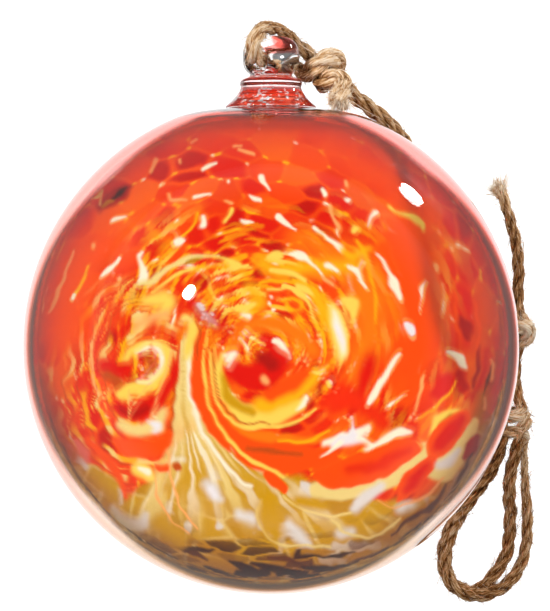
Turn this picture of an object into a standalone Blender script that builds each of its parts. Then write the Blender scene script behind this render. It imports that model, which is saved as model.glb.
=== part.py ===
"""A glass float ball lying on its side, with its pierced glass hanger and its jute cord.

Metres, +Z up. The origin is the middle of the small flat spot that the ball rests on.
The ball's own axis, from its underside through the hanger, runs along +Y.
"""

import math

import bmesh
import bpy
from mathutils import Matrix, Vector

MM = 0.001

# Ball
BALL_RADIUS = 75.0 * MM
REST_SPOT_RADIUS = 10.0 * MM
NECK_DIP = 1.8 * MM
NECK_DIP_FLAT_RADIUS = 12.0 * MM
NECK_DIP_OUTER_RADIUS = 30.0 * MM
BALL_SEGMENTS = 64
BALL_RINGS = 32

# Hanger: a flared collar, a thin ring and a pierced bulb, gathered as one blob of clear glass
COLLAR_RADIUS = 13.8 * MM
COLLAR_RIM_THICKNESS = 0.5 * MM
WAIST_RADIUS = 9.2 * MM
WAIST_ABOVE_BALL = 5.4 * MM
COLLAR_CURVE = 1.6
RING_HEIGHT = 2.4 * MM
RING_BULGE = 0.4 * MM
NOTCH_RADIUS = 8.5 * MM
BULB_HEIGHT = 13.0 * MM
BULB_DEPTH = 16.2 * MM
BULB_BREADTH = 17.9 * MM
BULB_SQUARENESS = 2.8
HANGER_SEGMENTS = 40

# The hole through the bulb, flared at both mouths
HOLE_RADIUS = 3.5 * MM
HOLE_FLARE = 1.2 * MM
HOLE_ABOVE_NOTCH = 5.4 * MM
HOLE_TURN = math.radians(50.0)
HOLE_SEGMENTS = 20

# Gap between pieces that touch
GAP = 0.3 * MM

# Cord
ROPE_DIAMETER = 4.8 * MM
ROPE_SIDES_RESOLUTION = 2

# Knots, as closed solids of their outer shape: half sizes across, along and up their own axis
EYE_KNOT_HALF = (5.9 * MM, 5.9 * MM, 5.6 * MM)
HITCH_HALF = (5.6 * MM, 5.6 * MM, 5.1 * MM)
END_KNOT_HALF = (4.4 * MM, 4.2 * MM, 4.0 * MM)
KNOT_WRAP_DEPTH = 0.09

# Places of the knots and routes of the cord, in millimetres from the origin, chosen by hand
EYE_KNOT_PLACE = (16.6, 84.6, 68.4)
HITCH_PLACE = (78.2, -26.4, 5.4)
END_KNOT_PLACE = (80.8, 4.0, 4.3)

ROUTE_EYE = (
    (9.3, 83.8, 64.4), (7.5, 85.0, 65.4), (4.6, 86.2, 68.6), (0.3, 86.6, 74.4),
    (-2.3, 86.6, 77.9), (-4.5, 86.9, 81.5), (-5.4, 90.0, 84.4), (-4.4, 93.9, 83.7),
    (-1.9, 96.4, 80.0), (0.8, 97.3, 75.4), (3.9, 96.9, 70.8), (6.5, 94.9, 67.2),
    (8.4, 92.4, 65.5), (9.7, 90.9, 65.2),
)
ROUTE_TAIL = ((22.1, 79.9, 72.6), (21.9, 77.4, 75.0), (21.3, 75.3, 78.6), (21.0, 74.6, 81.4))
ROUTE_RUN = (
    (21.4, 80.6, 65.0), (25.0, 76.9, 64.8), (30.5, 72.6, 64.0), (36.0, 68.2, 60.2),
    (41.4, 62.6, 52.2), (45.0, 56.0, 38.0), (47.5, 50.5, 20.0), (50.0, 43.5, 6.2),
    (53.0, 33.0, 2.6), (56.0, 18.0, 2.6), (60.0, 2.0, 2.6), (66.0, -10.0, 2.8),
    (73.0, -17.4, 4.2), (75.2, -20.0, 4.8),
)
ROUTE_TURN_OUTER = (
    (74.2, -32.4, 8.3), (72.2, -38.2, 7.9), (70.0, -42.5, 7.8), (65.6, -48.6, 7.8),
    (61.7, -54.1, 7.8), (58.7, -59.3, 7.8), (56.5, -65.5, 7.8), (56.1, -70.4, 7.8),
    (56.8, -74.6, 7.8), (58.8, -77.9, 7.8), (62.3, -80.4, 7.8), (65.6, -81.4, 7.8),
    (69.2, -81.1, 7.7), (73.6, -79.7, 6.9), (77.6, -76.7, 5.2), (80.6, -72.8, 3.4),
    (82.3, -68.2, 2.6), (82.9, -63.9, 2.6), (83.1, -59.6, 2.6), (83.1, -54.1, 2.6),
    (82.7, -49.5, 2.6), (82.4, -44.4, 2.6), (82.2, -38.5, 2.8), (81.7, -32.5, 3.0),
)
ROUTE_TURN_INNER = (
    (74.3, -32.4, 2.9), (72.2, -38.2, 2.6), (70.0, -42.5, 2.6), (65.6, -48.6, 2.6),
    (61.7, -54.1, 2.6), (58.7, -59.3, 2.6), (56.5, -65.5, 2.6), (56.1, -70.4, 2.6),
    (56.8, -74.6, 2.6), (58.8, -77.9, 2.6), (62.3, -80.2, 2.6), (65.6, -80.7, 2.6),
    (68.6, -79.3, 2.6), (71.4, -76.4, 2.6), (74.0, -72.8, 2.6), (76.2, -69.1, 2.6),
    (77.2, -64.2, 2.6), (77.6, -59.6, 2.6), (77.6, -54.1, 2.7), (77.2, -49.2, 3.6),
    (77.3, -42.7, 5.8), (78.6, -36.8, 7.8), (79.5, -32.7, 8.2),
)
ROUTE_END_LOW = (
    (80.6, -20.3, 4.4), (79.6, -14.0, 2.8), (79.4, -7.0, 2.6), (79.9, -2.6, 3.1),
    (80.3, -0.7, 3.5),
)
ROUTE_END_HIGH = (
    (80.3, 8.9, 3.5), (80.1, 11.8, 2.8), (80.2, 17.7, 2.6), (80.4, 24.5, 2.6),
    (79.6, 31.7, 2.6), (77.9, 38.8, 2.6), (76.2, 44.7, 2.6), (73.6, 50.6, 2.7),
)


def clear_scene():
    for obj in list(bpy.data.objects):
        bpy.data.objects.remove(obj, do_unlink=True)


def material(name, colour, roughness, metallic=0.0):
    found = bpy.data.materials.get(name) or bpy.data.materials.new(name)
    found.use_nodes = True
    shader = found.node_tree.nodes["Principled BSDF"]
    shader.inputs["Base Color"].default_value = (*colour, 1.0)
    shader.inputs["Roughness"].default_value = roughness
    shader.inputs["Metallic"].default_value = metallic
    return found


def link(name, data, finish):
    obj = bpy.data.objects.new(name, data)
    bpy.context.scene.collection.objects.link(obj)
    obj.data.materials.append(finish)
    return obj


def smooth_step(value, low, high):
    share = min(max((value - low) / (high - low), 0.0), 1.0)
    return share * share * (3.0 - 2.0 * share)


def ball_centre():
    """The ball is cut by the surface where its section is as wide as the rest spot."""
    return Vector((0.0, 0.0, math.sqrt(BALL_RADIUS**2 - REST_SPOT_RADIUS**2)))


def ball_profile(angle):
    """Radius from the axis and height above the centre, at an angle down from the neck."""
    from_axis = BALL_RADIUS * math.sin(angle)
    near_neck = angle < math.pi / 2
    spread = smooth_step(from_axis, NECK_DIP_FLAT_RADIUS, NECK_DIP_OUTER_RADIUS)
    dip = NECK_DIP * (1.0 - spread) if near_neck else 0.0
    reach = BALL_RADIUS - dip
    return reach * math.sin(angle), reach * math.cos(angle)


def turned(name, profile, segments, finish):
    """A closed solid turned about +Y from a profile of (radius, height) that ends on the axis."""
    bm = bmesh.new()
    points = [bm.verts.new((radius, height, 0.0)) for radius, height in profile]
    edges = [bm.edges.new(pair) for pair in zip(points, points[1:])]
    bmesh.ops.spin(
        bm, geom=points + edges, cent=(0.0, 0.0, 0.0), axis=(0.0, 1.0, 0.0),
        angle=math.tau, steps=segments, use_merge=True, use_duplicate=False,
    )
    bmesh.ops.remove_doubles(bm, verts=bm.verts, dist=0.001 * MM)
    bmesh.ops.recalc_face_normals(bm, faces=bm.faces)
    mesh = bpy.data.meshes.new(name)
    bm.to_mesh(mesh)
    bm.free()
    mesh.shade_smooth()
    return link(name, mesh, finish)


def cut_by(obj, cutter):
    """Cuts one piece by another, which is kept only as a guide."""
    cutter.hide_render = True
    cutter.display_type = "WIRE"
    cut = obj.modifiers.new("Cut " + cutter.name, "BOOLEAN")
    cut.operation = "DIFFERENCE"
    cut.solver = "EXACT"
    cut.object = cutter


def glass_ball():
    finish = material("orange glass", (0.85, 0.16, 0.03), 0.06)
    steps = [math.pi * index / BALL_RINGS for index in range(BALL_RINGS + 1)]
    ball = turned("glass_ball", [ball_profile(angle) for angle in steps], BALL_SEGMENTS, finish)
    ball.location = ball_centre()

    bm = bmesh.new()
    bmesh.ops.create_cube(bm, size=1.0)
    mesh = bpy.data.meshes.new("surface under the ball")
    bm.to_mesh(mesh)
    bm.free()
    below = link("surface_under_ball", mesh, finish)
    below.scale = (2.0 * BALL_RADIUS, 2.0 * BALL_RADIUS, BALL_RADIUS)
    below.location = (0.0, 0.0, -BALL_RADIUS / 2.0)
    cut_by(ball, below)
    return ball


def collar_profile():
    """The underside follows the ball at the gap, then the rim and the concave flare go up."""
    ball_top = BALL_RADIUS - NECK_DIP
    under = []
    for index in range(7):
        radius = COLLAR_RADIUS * index / 6
        out, height = ball_profile(math.asin(radius / ball_top))
        under.append((out, height + GAP))
    rim_radius, rim_height = under[-1]
    rim_top = rim_height + COLLAR_RIM_THICKNESS
    waist_height = ball_top + WAIST_ABOVE_BALL
    flare = []
    for index in range(8):
        share = index / 7
        radius = WAIST_RADIUS + (rim_radius - WAIST_RADIUS) * (1.0 - share) ** COLLAR_CURVE
        flare.append((radius, rim_top + (waist_height - rim_top) * share))
    return under + flare


def ring_profile(bottom):
    points = []
    for index in range(1, 5):
        share = index / 4
        base = WAIST_RADIUS + (NOTCH_RADIUS - WAIST_RADIUS) * share**3
        points.append((base + RING_BULGE * math.sin(math.pi * share), bottom + RING_HEIGHT * share))
    return points


def bulb_profile(bottom):
    """A squarish oval that starts on the notch and closes at the top."""
    half = BULB_HEIGHT / 2.0
    power = BULB_SQUARENESS
    mean_radius = (BULB_DEPTH + BULB_BREADTH) / 4.0
    points = []
    for index in range(1, 13):
        turn = -0.62 * math.pi / 2.0 + (0.62 + 1.0) * math.pi / 2.0 * index / 12
        rise = math.copysign(abs(math.sin(turn)) ** (2.0 / power), math.sin(turn))
        out = max(math.cos(turn), 0.0) ** (2.0 / power)
        points.append((mean_radius * out, bottom + half + half * rise))
    points[-1] = (0.0, points[-1][1])
    return points


def notch_height():
    return BALL_RADIUS - NECK_DIP + WAIST_ABOVE_BALL + RING_HEIGHT


def pinch_bulb(hanger):
    """The bulb is pressed flatter along the hole and spreads across it, as when it is pierced."""
    along = Vector((-math.cos(HOLE_TURN), 0.0, math.sin(HOLE_TURN)))
    across = Vector((math.sin(HOLE_TURN), 0.0, math.cos(HOLE_TURN)))
    mean = (BULB_DEPTH + BULB_BREADTH) / 2.0
    for vertex in hanger.data.vertices:
        share = smooth_step(vertex.co.y, notch_height(), notch_height() + BULB_HEIGHT / 3.0)
        depth = vertex.co.dot(along)
        breadth = vertex.co.dot(across)
        vertex.co += along * depth * share * (BULB_DEPTH / mean - 1.0)
        vertex.co += across * breadth * share * (BULB_BREADTH / mean - 1.0)


def hole_cutter(finish):
    """A round bar that widens to both ends, longer than the bulb is deep."""
    half = BULB_DEPTH / 2.0
    reach = half * 1.5
    profile = [(0.0, -reach)]
    for index in range(-6, 7):
        place = reach * index / 6
        profile.append((HOLE_RADIUS + HOLE_FLARE * (place / half) ** 2, place))
    profile.append((0.0, reach))
    return turned("hole_bar", profile, HOLE_SEGMENTS, finish)


def hanging_knob():
    finish = material("clear glass", (0.93, 0.95, 0.95), 0.04)
    ring_bottom = BALL_RADIUS - NECK_DIP + WAIST_ABOVE_BALL
    profile = collar_profile() + ring_profile(ring_bottom) + bulb_profile(notch_height())
    hanger = turned("hanging_knob", profile, HANGER_SEGMENTS, finish)
    pinch_bulb(hanger)
    hanger.location = ball_centre()

    bar = hole_cutter(finish)
    tip_over = Matrix.Rotation(math.radians(90.0), 4, "Z")
    turn_round = Matrix.Rotation(HOLE_TURN, 4, "Y")
    place = ball_centre() + Vector((0.0, notch_height() + HOLE_ABOVE_NOTCH, 0.0))
    bar.matrix_world = Matrix.Translation(place) @ turn_round @ tip_over
    cut_by(hanger, bar)
    return hanger


def route_point(before, start, end, after, share):
    """Catmull-Rom between two of the route's points."""
    square = share * share
    cube = square * share
    return 0.5 * (
        2.0 * start + (end - before) * share
        + (2.0 * before - 5.0 * start + 4.0 * end - after) * square
        + (3.0 * start - 3.0 * end + after - before) * cube
    )


def smooth_route(route, spacing):
    """Points at even steps along a smooth curve through a route given in millimetres."""
    knots = [Vector(point) * MM for point in route]
    ends = [2.0 * knots[0] - knots[1]] + knots + [2.0 * knots[-1] - knots[-2]]
    fine = [knots[0]]
    for index in range(len(knots) - 1):
        four = ends[index:index + 4]
        fine += [route_point(*four, step / 24) for step in range(1, 25)]
    reached = [0.0]
    for start, end in zip(fine, fine[1:]):
        reached.append(reached[-1] + (end - start).length)
    count = max(round(reached[-1] / spacing), 2)
    points = []
    place = 0
    for step in range(count + 1):
        wanted = reached[-1] * step / count
        while place < len(fine) - 2 and reached[place + 1] < wanted:
            place += 1
        share = (wanted - reached[place]) / (reached[place + 1] - reached[place])
        points.append(fine[place].lerp(fine[place + 1], share))
    return points


def rope_tube(name, route, spacing):
    data = bpy.data.curves.new(name, "CURVE")
    data.dimensions = "3D"
    data.bevel_depth = ROPE_DIAMETER / 2.0
    data.bevel_resolution = ROPE_SIDES_RESOLUTION
    data.use_fill_caps = True
    points = smooth_route(route, spacing)
    spline = data.splines.new("POLY")
    spline.points.add(len(points) - 1)
    for slot, point in zip(spline.points, points):
        slot.co = (*point, 1.0)
        slot.radius = 1.0
    return link(name, data, material("jute", (0.45, 0.28, 0.13), 0.9))


def rope_knot(name, place, halves, wraps, turn_degrees):
    """A barrel with one ridge for each wrap of the cord, its axis along its own Y."""
    wide, half_length, high = halves
    profile = [(0.0, -half_length)]
    rows = 6 * wraps
    for row in range(1, rows):
        along = -1.0 + 2.0 * row / rows
        round_end = (1.0 - abs(along) ** 3.0) ** 0.5
        ridge = 1.0 - KNOT_WRAP_DEPTH * (1.0 + math.cos(math.pi * wraps * (along + 1.0))) / 2.0
        profile.append((wide * round_end * ridge, half_length * along))
    profile.append((0.0, half_length))
    knot = turned(name, profile, 16, material("jute", (0.45, 0.28, 0.13), 0.9))
    for vertex in knot.data.vertices:
        vertex.co.z *= high / wide
    knot.location = Vector(place) * MM
    knot.rotation_euler = (0.0, 0.0, math.radians(turn_degrees))
    return knot


def cord():
    rope_tube("rope_eye", ROUTE_EYE, 3.6 * MM)
    rope_knot("rope_eye_knot", EYE_KNOT_PLACE, EYE_KNOT_HALF, 3, 35.0)
    rope_tube("rope_tail", ROUTE_TAIL, 3.0 * MM)
    rope_tube("rope_run", ROUTE_RUN, 11.0 * MM)
    rope_knot("rope_hitch", HITCH_PLACE, HITCH_HALF, 2, 0.0)
    rope_tube("rope_turn_outer", ROUTE_TURN_OUTER, 7.5 * MM)
    rope_tube("rope_turn_inner", ROUTE_TURN_INNER, 7.5 * MM)
    rope_tube("rope_end_low", ROUTE_END_LOW, 6.0 * MM)
    rope_knot("rope_end_knot", END_KNOT_PLACE, END_KNOT_HALF, 2, 70.0)
    rope_tube("rope_end_high", ROUTE_END_HIGH, 9.0 * MM)


def main():
    clear_scene()
    glass_ball()
    hanging_knob()
    cord()


main()
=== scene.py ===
"""The dressed scene of a glass float ball on its side, with its pierced glass hanger and jute cord.

Metres, +Z up. The ball's own axis, from its underside through the hanger, runs along +Y.
"""

import math

import bmesh
import bpy
import numpy as np
from mathutils import Matrix, Vector


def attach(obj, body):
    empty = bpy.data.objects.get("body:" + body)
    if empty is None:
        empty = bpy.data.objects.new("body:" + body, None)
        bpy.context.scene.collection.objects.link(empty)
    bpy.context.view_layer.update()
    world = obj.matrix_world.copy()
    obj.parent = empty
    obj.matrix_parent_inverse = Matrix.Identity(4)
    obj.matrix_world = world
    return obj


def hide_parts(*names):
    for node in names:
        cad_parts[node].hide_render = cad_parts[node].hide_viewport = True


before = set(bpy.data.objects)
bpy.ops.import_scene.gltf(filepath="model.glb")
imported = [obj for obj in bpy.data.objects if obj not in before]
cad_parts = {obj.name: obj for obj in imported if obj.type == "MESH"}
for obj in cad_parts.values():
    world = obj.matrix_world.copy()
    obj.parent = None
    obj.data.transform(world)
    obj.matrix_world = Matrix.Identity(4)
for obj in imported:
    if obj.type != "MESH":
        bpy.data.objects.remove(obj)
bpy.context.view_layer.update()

MM = 0.001

# Camera
CAMERA_PLACE = (1.24 * MM, 12.33 * MM, 1074.33 * MM)
CAMERA_LENS = 194.435
CAMERA_SENSOR = 36.0

# Ball, as in the part
BALL_RADIUS = 75.0 * MM
REST_SPOT_RADIUS = 10.0 * MM
NECK_DIP = 1.8 * MM
NECK_DIP_FLAT_RADIUS = 12.0 * MM
NECK_DIP_OUTER_RADIUS = 30.0 * MM

# Hanger, as in the part
COLLAR_RADIUS = 13.8 * MM
COLLAR_RIM_THICKNESS = 0.5 * MM
WAIST_RADIUS = 9.2 * MM
WAIST_ABOVE_BALL = 5.4 * MM
COLLAR_CURVE = 1.6
RING_HEIGHT = 2.4 * MM
RING_BULGE = 0.4 * MM
NOTCH_RADIUS = 8.5 * MM
BULB_HEIGHT = 13.0 * MM
BULB_DEPTH = 16.2 * MM
BULB_BREADTH = 17.9 * MM
BULB_SQUARENESS = 2.8
HOLE_RADIUS = 3.5 * MM
HOLE_FLARE = 1.2 * MM
HOLE_ABOVE_NOTCH = 5.4 * MM
HOLE_TURN = math.radians(50.0)
GAP = 0.3 * MM

# Cord
STRAND_COUNT = 3
STRAND_SIDES = 15
STRAND_OFFSET = 0.50
STRAND_RADIUS = 0.505
LAY_LENGTH = 19.0 * MM
ROPE_STEP = 0.7 * MM
# Painted shade in the grooves between the strands: full within the first share of the cord's radius
# from its middle line, gone at the second, and how much it darkens
GROOVE_SHADE_REACH = (0.45, 1.0)
GROOVE_PAINTED_SHADE = 0.62

# The cord's route in millimetres, in order from its loose tail to its free end: three
# coordinates, then the cord's radius there and its painted light from 0 to 1: painted light and
# shade that makes the tops of the wraps and knots pale and the cord dark low down
TAIL_AND_WRAPS = (
    (20.2, 73.2, 81.0, 3.4, 1.0), (20.8, 75.0, 79.6, 3.4, 0.9), (21.4, 77.4, 75.8, 3.1, 0.7),
    (21.6, 79.9, 73.0, 3.0, 0.6), (20.4, 81.8, 72.8, 3.0, 0.8), (18.4, 81.4, 72.4, 3.0, 0.7),
    (15.8, 80.0, 70.6, 3.0, 0.2), (15.6, 80.6, 67.2, 2.8, 0.1), (17.8, 82.8, 65.6, 2.8, 0.1),
    (20.2, 85.6, 66.8, 2.9, 0.3), (19.6, 87.6, 70.0, 3.0, 0.9), (16.8, 87.2, 72.2, 3.1, 1.0),
    (13.6, 85.2, 72.0, 3.0, 0.8), (11.8, 83.4, 69.6, 2.8, 0.5), (10.9, 83.0, 66.7, 2.5, 0.3),
)
EYE = (
    (9.3, 83.8, 64.4, 2.3, 0.5), (7.5, 85.0, 65.4, 2.3, 0.6), (4.6, 86.2, 68.6, 2.3, 0.7),
    (0.3, 86.6, 74.4, 2.4, 0.6), (-2.3, 86.6, 77.9, 2.5, 0.7), (-4.5, 86.9, 81.5, 2.6, 0.95),
    (-5.2, 89.9, 84.4, 2.6, 1.0), (-4.3, 93.3, 83.8, 2.6, 0.9), (-2.2, 95.6, 80.6, 2.4, 0.6),
    (0.3, 96.2, 75.8, 2.1, 0.4), (3.2, 95.7, 70.4, 2.0, 0.4), (6.0, 94.0, 66.4, 2.0, 0.4),
    (8.2, 91.8, 64.9, 2.1, 0.5), (9.7, 90.7, 64.9, 2.2, 0.5),
)
RUN = (
    (12.2, 88.6, 66.4, 2.3, 0.5), (16.2, 84.9, 67.6, 2.2, 0.4), (21.4, 80.6, 65.2, 2.3, 0.45),
    (25.0, 76.9, 64.8, 2.4, 0.5), (30.5, 72.6, 64.0, 2.5, 0.5), (36.0, 68.2, 60.2, 2.5, 0.5),
    (41.4, 62.6, 52.2, 2.4, 0.4), (45.0, 56.0, 38.0, 2.4, 0.3), (47.5, 50.5, 20.0, 2.4, 0.3),
    (50.0, 43.5, 6.2, 2.4, 0.3), (53.0, 33.0, 2.6, 2.4, 0.3), (56.0, 18.0, 2.6, 2.4, 0.3),
    (60.0, 2.0, 2.6, 2.4, 0.3), (66.0, -10.0, 2.8, 2.4, 0.3), (73.0, -17.4, 4.2, 2.3, 0.3),
)
HITCH_THROUGH = (
    (75.0, -20.6, 5.0, 2.2, 0.3), (74.8, -26.0, 6.8, 2.2, 0.2),
)
OUTER_TURN = (
    (74.2, -32.4, 8.3, 2.3, 0.15), (72.2, -38.2, 7.9, 2.4, 0.15), (70.0, -42.5, 7.8, 2.4, 0.15),
    (65.6, -48.6, 7.8, 2.4, 0.2), (61.7, -54.1, 7.8, 2.4, 0.3), (58.7, -59.3, 7.8, 2.5, 0.35),
    (56.5, -65.5, 7.8, 2.5, 0.4), (56.1, -70.4, 7.8, 2.5, 0.4), (56.8, -74.6, 7.8, 2.4, 0.4),
    (58.8, -77.9, 7.8, 2.4, 0.4), (62.3, -80.4, 7.8, 2.4, 0.35), (65.6, -81.4, 7.8, 2.3, 0.35),
    (69.2, -81.1, 7.7, 2.3, 0.35), (73.6, -79.7, 6.9, 2.2, 0.35), (77.6, -76.7, 5.2, 2.1, 0.35),
    (80.6, -72.8, 3.4, 2.0, 0.4), (82.3, -68.2, 2.6, 1.9, 0.45), (82.9, -63.9, 2.6, 1.9, 0.45),
    (83.1, -59.6, 2.6, 1.9, 0.45), (83.1, -54.1, 2.6, 1.8, 0.45), (82.7, -49.5, 2.6, 1.7, 0.5),
    (82.4, -44.4, 2.6, 1.4, 0.6), (82.2, -38.5, 2.8, 1.3, 0.7), (81.7, -32.9, 3.2, 1.7, 0.6),
)
HITCH_WRAP = (
    (82.0, -30.4, 5.2, 2.1, 0.8), (81.2, -29.2, 8.2, 2.2, 1.0), (77.6, -28.6, 9.2, 2.2, 0.6),
    (74.6, -29.4, 7.2, 2.2, 0.2),
)
INNER_TURN = (
    (74.2, -32.4, 3.2, 2.3, 0.1), (72.2, -38.2, 2.6, 2.3, 0.1), (70.0, -42.5, 2.6, 2.4, 0.1),
    (65.6, -48.6, 2.6, 2.4, 0.15), (61.7, -54.1, 2.6, 2.4, 0.2), (58.7, -59.3, 2.6, 2.4, 0.25),
    (56.5, -65.5, 2.6, 2.4, 0.3), (56.1, -70.4, 2.6, 2.4, 0.3), (56.8, -74.6, 2.6, 2.4, 0.3),
    (58.8, -77.9, 2.6, 2.4, 0.3), (62.3, -80.2, 2.6, 2.4, 0.3), (65.6, -80.7, 2.6, 2.4, 0.3),
    (68.6, -79.3, 2.6, 2.4, 0.35), (71.4, -76.4, 2.6, 2.3, 0.35), (74.0, -72.8, 2.6, 2.2, 0.35),
    (76.2, -69.1, 2.6, 2.2, 0.35), (77.2, -64.2, 2.6, 2.2, 0.35), (77.6, -59.6, 2.6, 2.2, 0.35),
    (77.6, -54.1, 2.7, 2.2, 0.35), (77.2, -49.2, 3.6, 2.2, 0.4), (77.3, -42.7, 5.8, 2.2, 0.4),
    (78.6, -36.8, 7.8, 2.2, 0.35), (79.5, -32.7, 8.4, 2.1, 0.3),
)
HITCH_TOP = (
    (80.6, -28.4, 8.6, 2.1, 0.5), (82.2, -25.4, 7.6, 2.2, 0.8), (82.2, -23.6, 4.6, 2.1, 0.6),
    (78.8, -22.6, 2.6, 2.1, 0.2), (75.2, -22.6, 4.4, 2.1, 0.3), (76.0, -23.4, 8.0, 2.2, 0.8),
    (79.4, -23.6, 8.6, 2.2, 1.0), (81.2, -22.0, 6.4, 2.1, 0.7),
)
FREE_END = (
    (80.8, -19.8, 4.4, 1.9, 0.3), (79.6, -14.0, 2.8, 1.9, 0.2), (79.4, -7.0, 2.6, 1.9, 0.2),
    (79.9, -2.6, 3.1, 1.9, 0.3), (80.6, -0.4, 3.6, 2.0, 0.5), (82.8, 1.6, 4.4, 2.3, 1.1),
    (83.4, 4.4, 5.6, 2.5, 1.3), (81.2, 5.6, 6.8, 2.4, 1.2), (78.4, 4.8, 5.8, 2.1, 0.7),
    (78.0, 3.0, 3.6, 2.0, 0.0), (80.6, 2.4, 2.6, 2.2, 0.1), (83.2, 4.6, 3.4, 2.4, 1.0),
    (82.2, 7.2, 4.0, 2.2, 0.9), (80.5, 8.9, 3.5, 2.0, 0.3),
    (80.1, 11.8, 2.8, 2.0, 0.2), (80.2, 17.7, 2.6, 2.0, 0.2), (80.4, 24.5, 2.6, 2.0, 0.25),
    (79.6, 31.7, 2.6, 2.0, 0.3), (77.9, 38.8, 2.6, 1.9, 0.35), (76.2, 44.7, 2.6, 1.9, 0.45),
    (74.6, 48.6, 2.7, 2.2, 0.8), (73.6, 50.8, 2.8, 2.6, 1.0),
)
CORD_ROUTE = (
    TAIL_AND_WRAPS + EYE + RUN + HITCH_THROUGH + OUTER_TURN + HITCH_WRAP + INNER_TURN
    + HITCH_TOP + FREE_END
)
CORD_NODES = (
    "rope_eye", "rope_eye_knot", "rope_tail", "rope_run", "rope_hitch", "rope_turn_outer",
    "rope_turn_inner", "rope_end_low", "rope_end_knot", "rope_end_high",
)

# Loose hairs of the cord
HAIR_COUNT = 6000
HAIR_LENGTH = (1.2 * MM, 5.0 * MM)
HAIR_RADIUS = 0.085 * MM
END_HAIR_COUNT = 260
END_HAIR_LENGTH = (1.2 * MM, 3.6 * MM)
# Colours of the jute from its darkest to its palest, each after its place on the ramp
JUTE_STOPS = (
    (0.20, 0.030, 0.009, 0.002), (0.38, 0.17, 0.06, 0.015), (0.54, 0.41, 0.18, 0.055),
    (0.74, 0.74, 0.48, 0.25), (0.97, 0.94, 0.80, 0.62),
)
# Longer pale wisps in millimetres: where each starts, its way and its bend
WISPS = (
    ((22.0, 80.0, 77.5), (-2.0, -12.0, 2.0), (2.0, -2.0, 0.5)),
    ((20.6, 81.0, 77.0), (-1.0, -13.0, 2.5), (1.0, -1.0, 0.5)),
    ((19.4, 80.0, 77.5), (-0.5, -11.0, 2.0), (-1.5, -1.0, 0.5)),
    ((23.0, 79.0, 77.0), (1.0, -10.0, 1.5), (-1.0, -2.5, 0.5)),
    ((21.2, 77.0, 80.5), (1.5, -9.0, 1.0), (1.5, -1.5, 0.0)),
    ((18.4, 78.5, 76.5), (0.5, -9.0, 1.5), (-1.0, 1.0, 0.5)),
    ((24.6, 74.6, 69.5), (8.6, -6.6, 1.0), (0.8, 0.8, 0.5)),
    ((24.0, 73.6, 70.0), (7.0, -6.8, 1.0), (1.5, 0.5, 0.5)),
    ((77.4, 4.0, 8.0), (-6.5, -2.0, 1.0), (0.0, -1.5, 0.5)),
    ((77.0, 2.8, 8.0), (-5.5, 0.5, 1.0), (-0.5, -1.5, 0.5)),
    ((13.0, 89.0, 72.0), (-4.0, 2.0, 2.0), (-1.0, 1.0, 0.5)),
    ((20.5, 89.5, 72.0), (3.5, 1.5, 1.0), (1.0, -1.5, 0.5)),
)
WISP_RADIUS = 0.16 * MM

# Glass
GLASS_IOR = 1.5
WALL = 2.9 * MM
HALF_REACH = 0.985
CASING_GRID = 160
FRIT_GRID = 315
HANGER_VOXEL = 0.28 * MM
HANGER_SMOOTHING = 6

# Tint of the clear casing round the ball's edge: azimuth in degrees, red, green, blue, and how
# far in it reaches
EDGE_TINTS = (
    (0.0, 0.97, 0.12, 0.06, 0.42), (25.0, 1.0, 0.06, 0.02, 0.58), (60.0, 1.0, 0.06, 0.02, 0.62),
    (95.0, 1.0, 0.06, 0.02, 0.60), (130.0, 1.0, 0.08, 0.03, 0.55), (165.0, 0.98, 0.14, 0.06, 0.45),
    (200.0, 0.88, 0.18, 0.09, 0.42), (235.0, 0.60, 0.26, 0.06, 0.46), (270.0, 0.60, 0.22, 0.05, 0.46),
    (305.0, 0.62, 0.28, 0.08, 0.44), (335.0, 0.84, 0.18, 0.08, 0.42), (360.0, 0.97, 0.12, 0.06, 0.42),
)
CASING_TINT = (0.985, 0.96, 0.94)
# How much of the pattern's tint the far side holds, of the 2 that both sides hold
FAR_SHARE = 0.75
# How far out the photograph's pattern is followed, as a share of the ball's radius
RIM_SHARE = 0.93
HANGER_CLEAR = (0.985, 0.985, 0.985)
HANGER_RED = (0.92, 0.05, 0.015)
# Middle of the crown's painted red patch, across and up: the ball's red seen through the clear bulb,
# painted as a tint
CROWN_PAINTED_RED = (3.4 * MM, 92.6 * MM)
COLLAR_CLEARNESS = 0.72
# Height and scale of the ripples in the glass
CASING_WAVE = (0.30 * MM, 22.0)
HANGER_WAVE = (0.35 * MM, 190.0)
FRONT_ROUGHNESS = 0.02
BACK_ROUGHNESS = 0.42

# Places on the ball are in pixels of the photograph, across and down
BALL_MIDDLE = (270.9, 346.2)
BALL_REACH = 248.2
SWIRL_MIDDLE = (262.0, 352.0)

COLOURS = {
    "scarlet": (235, 44, 8), "orange": (252, 76, 6), "bright": (255, 118, 10),
    "glow": (255, 176, 14), "red": (224, 20, 6), "dark_red": (176, 20, 12),
    "cream": (252, 238, 206), "white": (240, 230, 228), "peach": (255, 170, 96),
    "yellow": (250, 208, 84), "amber": (208, 150, 10), "ochre": (184, 120, 6),
    "straw": (240, 208, 126), "milk": (228, 216, 206), "brown": (104, 44, 10),
    "umber": (58, 16, 8), "rust": (196, 74, 16), "pink": (232, 104, 86),
    "mauve": (206, 146, 136), "beige": (196, 164, 138),
}

# Where the red frit gives way to the amber one: across, and down
TIDE = (
    (20, 424), (60, 440), (90, 466), (125, 494), (160, 470), (185, 430), (200, 424), (230, 446),
    (262, 470), (300, 480), (340, 484), (380, 504), (410, 508), (440, 484), (470, 440),
    (500, 405), (520, 380),
)
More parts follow.
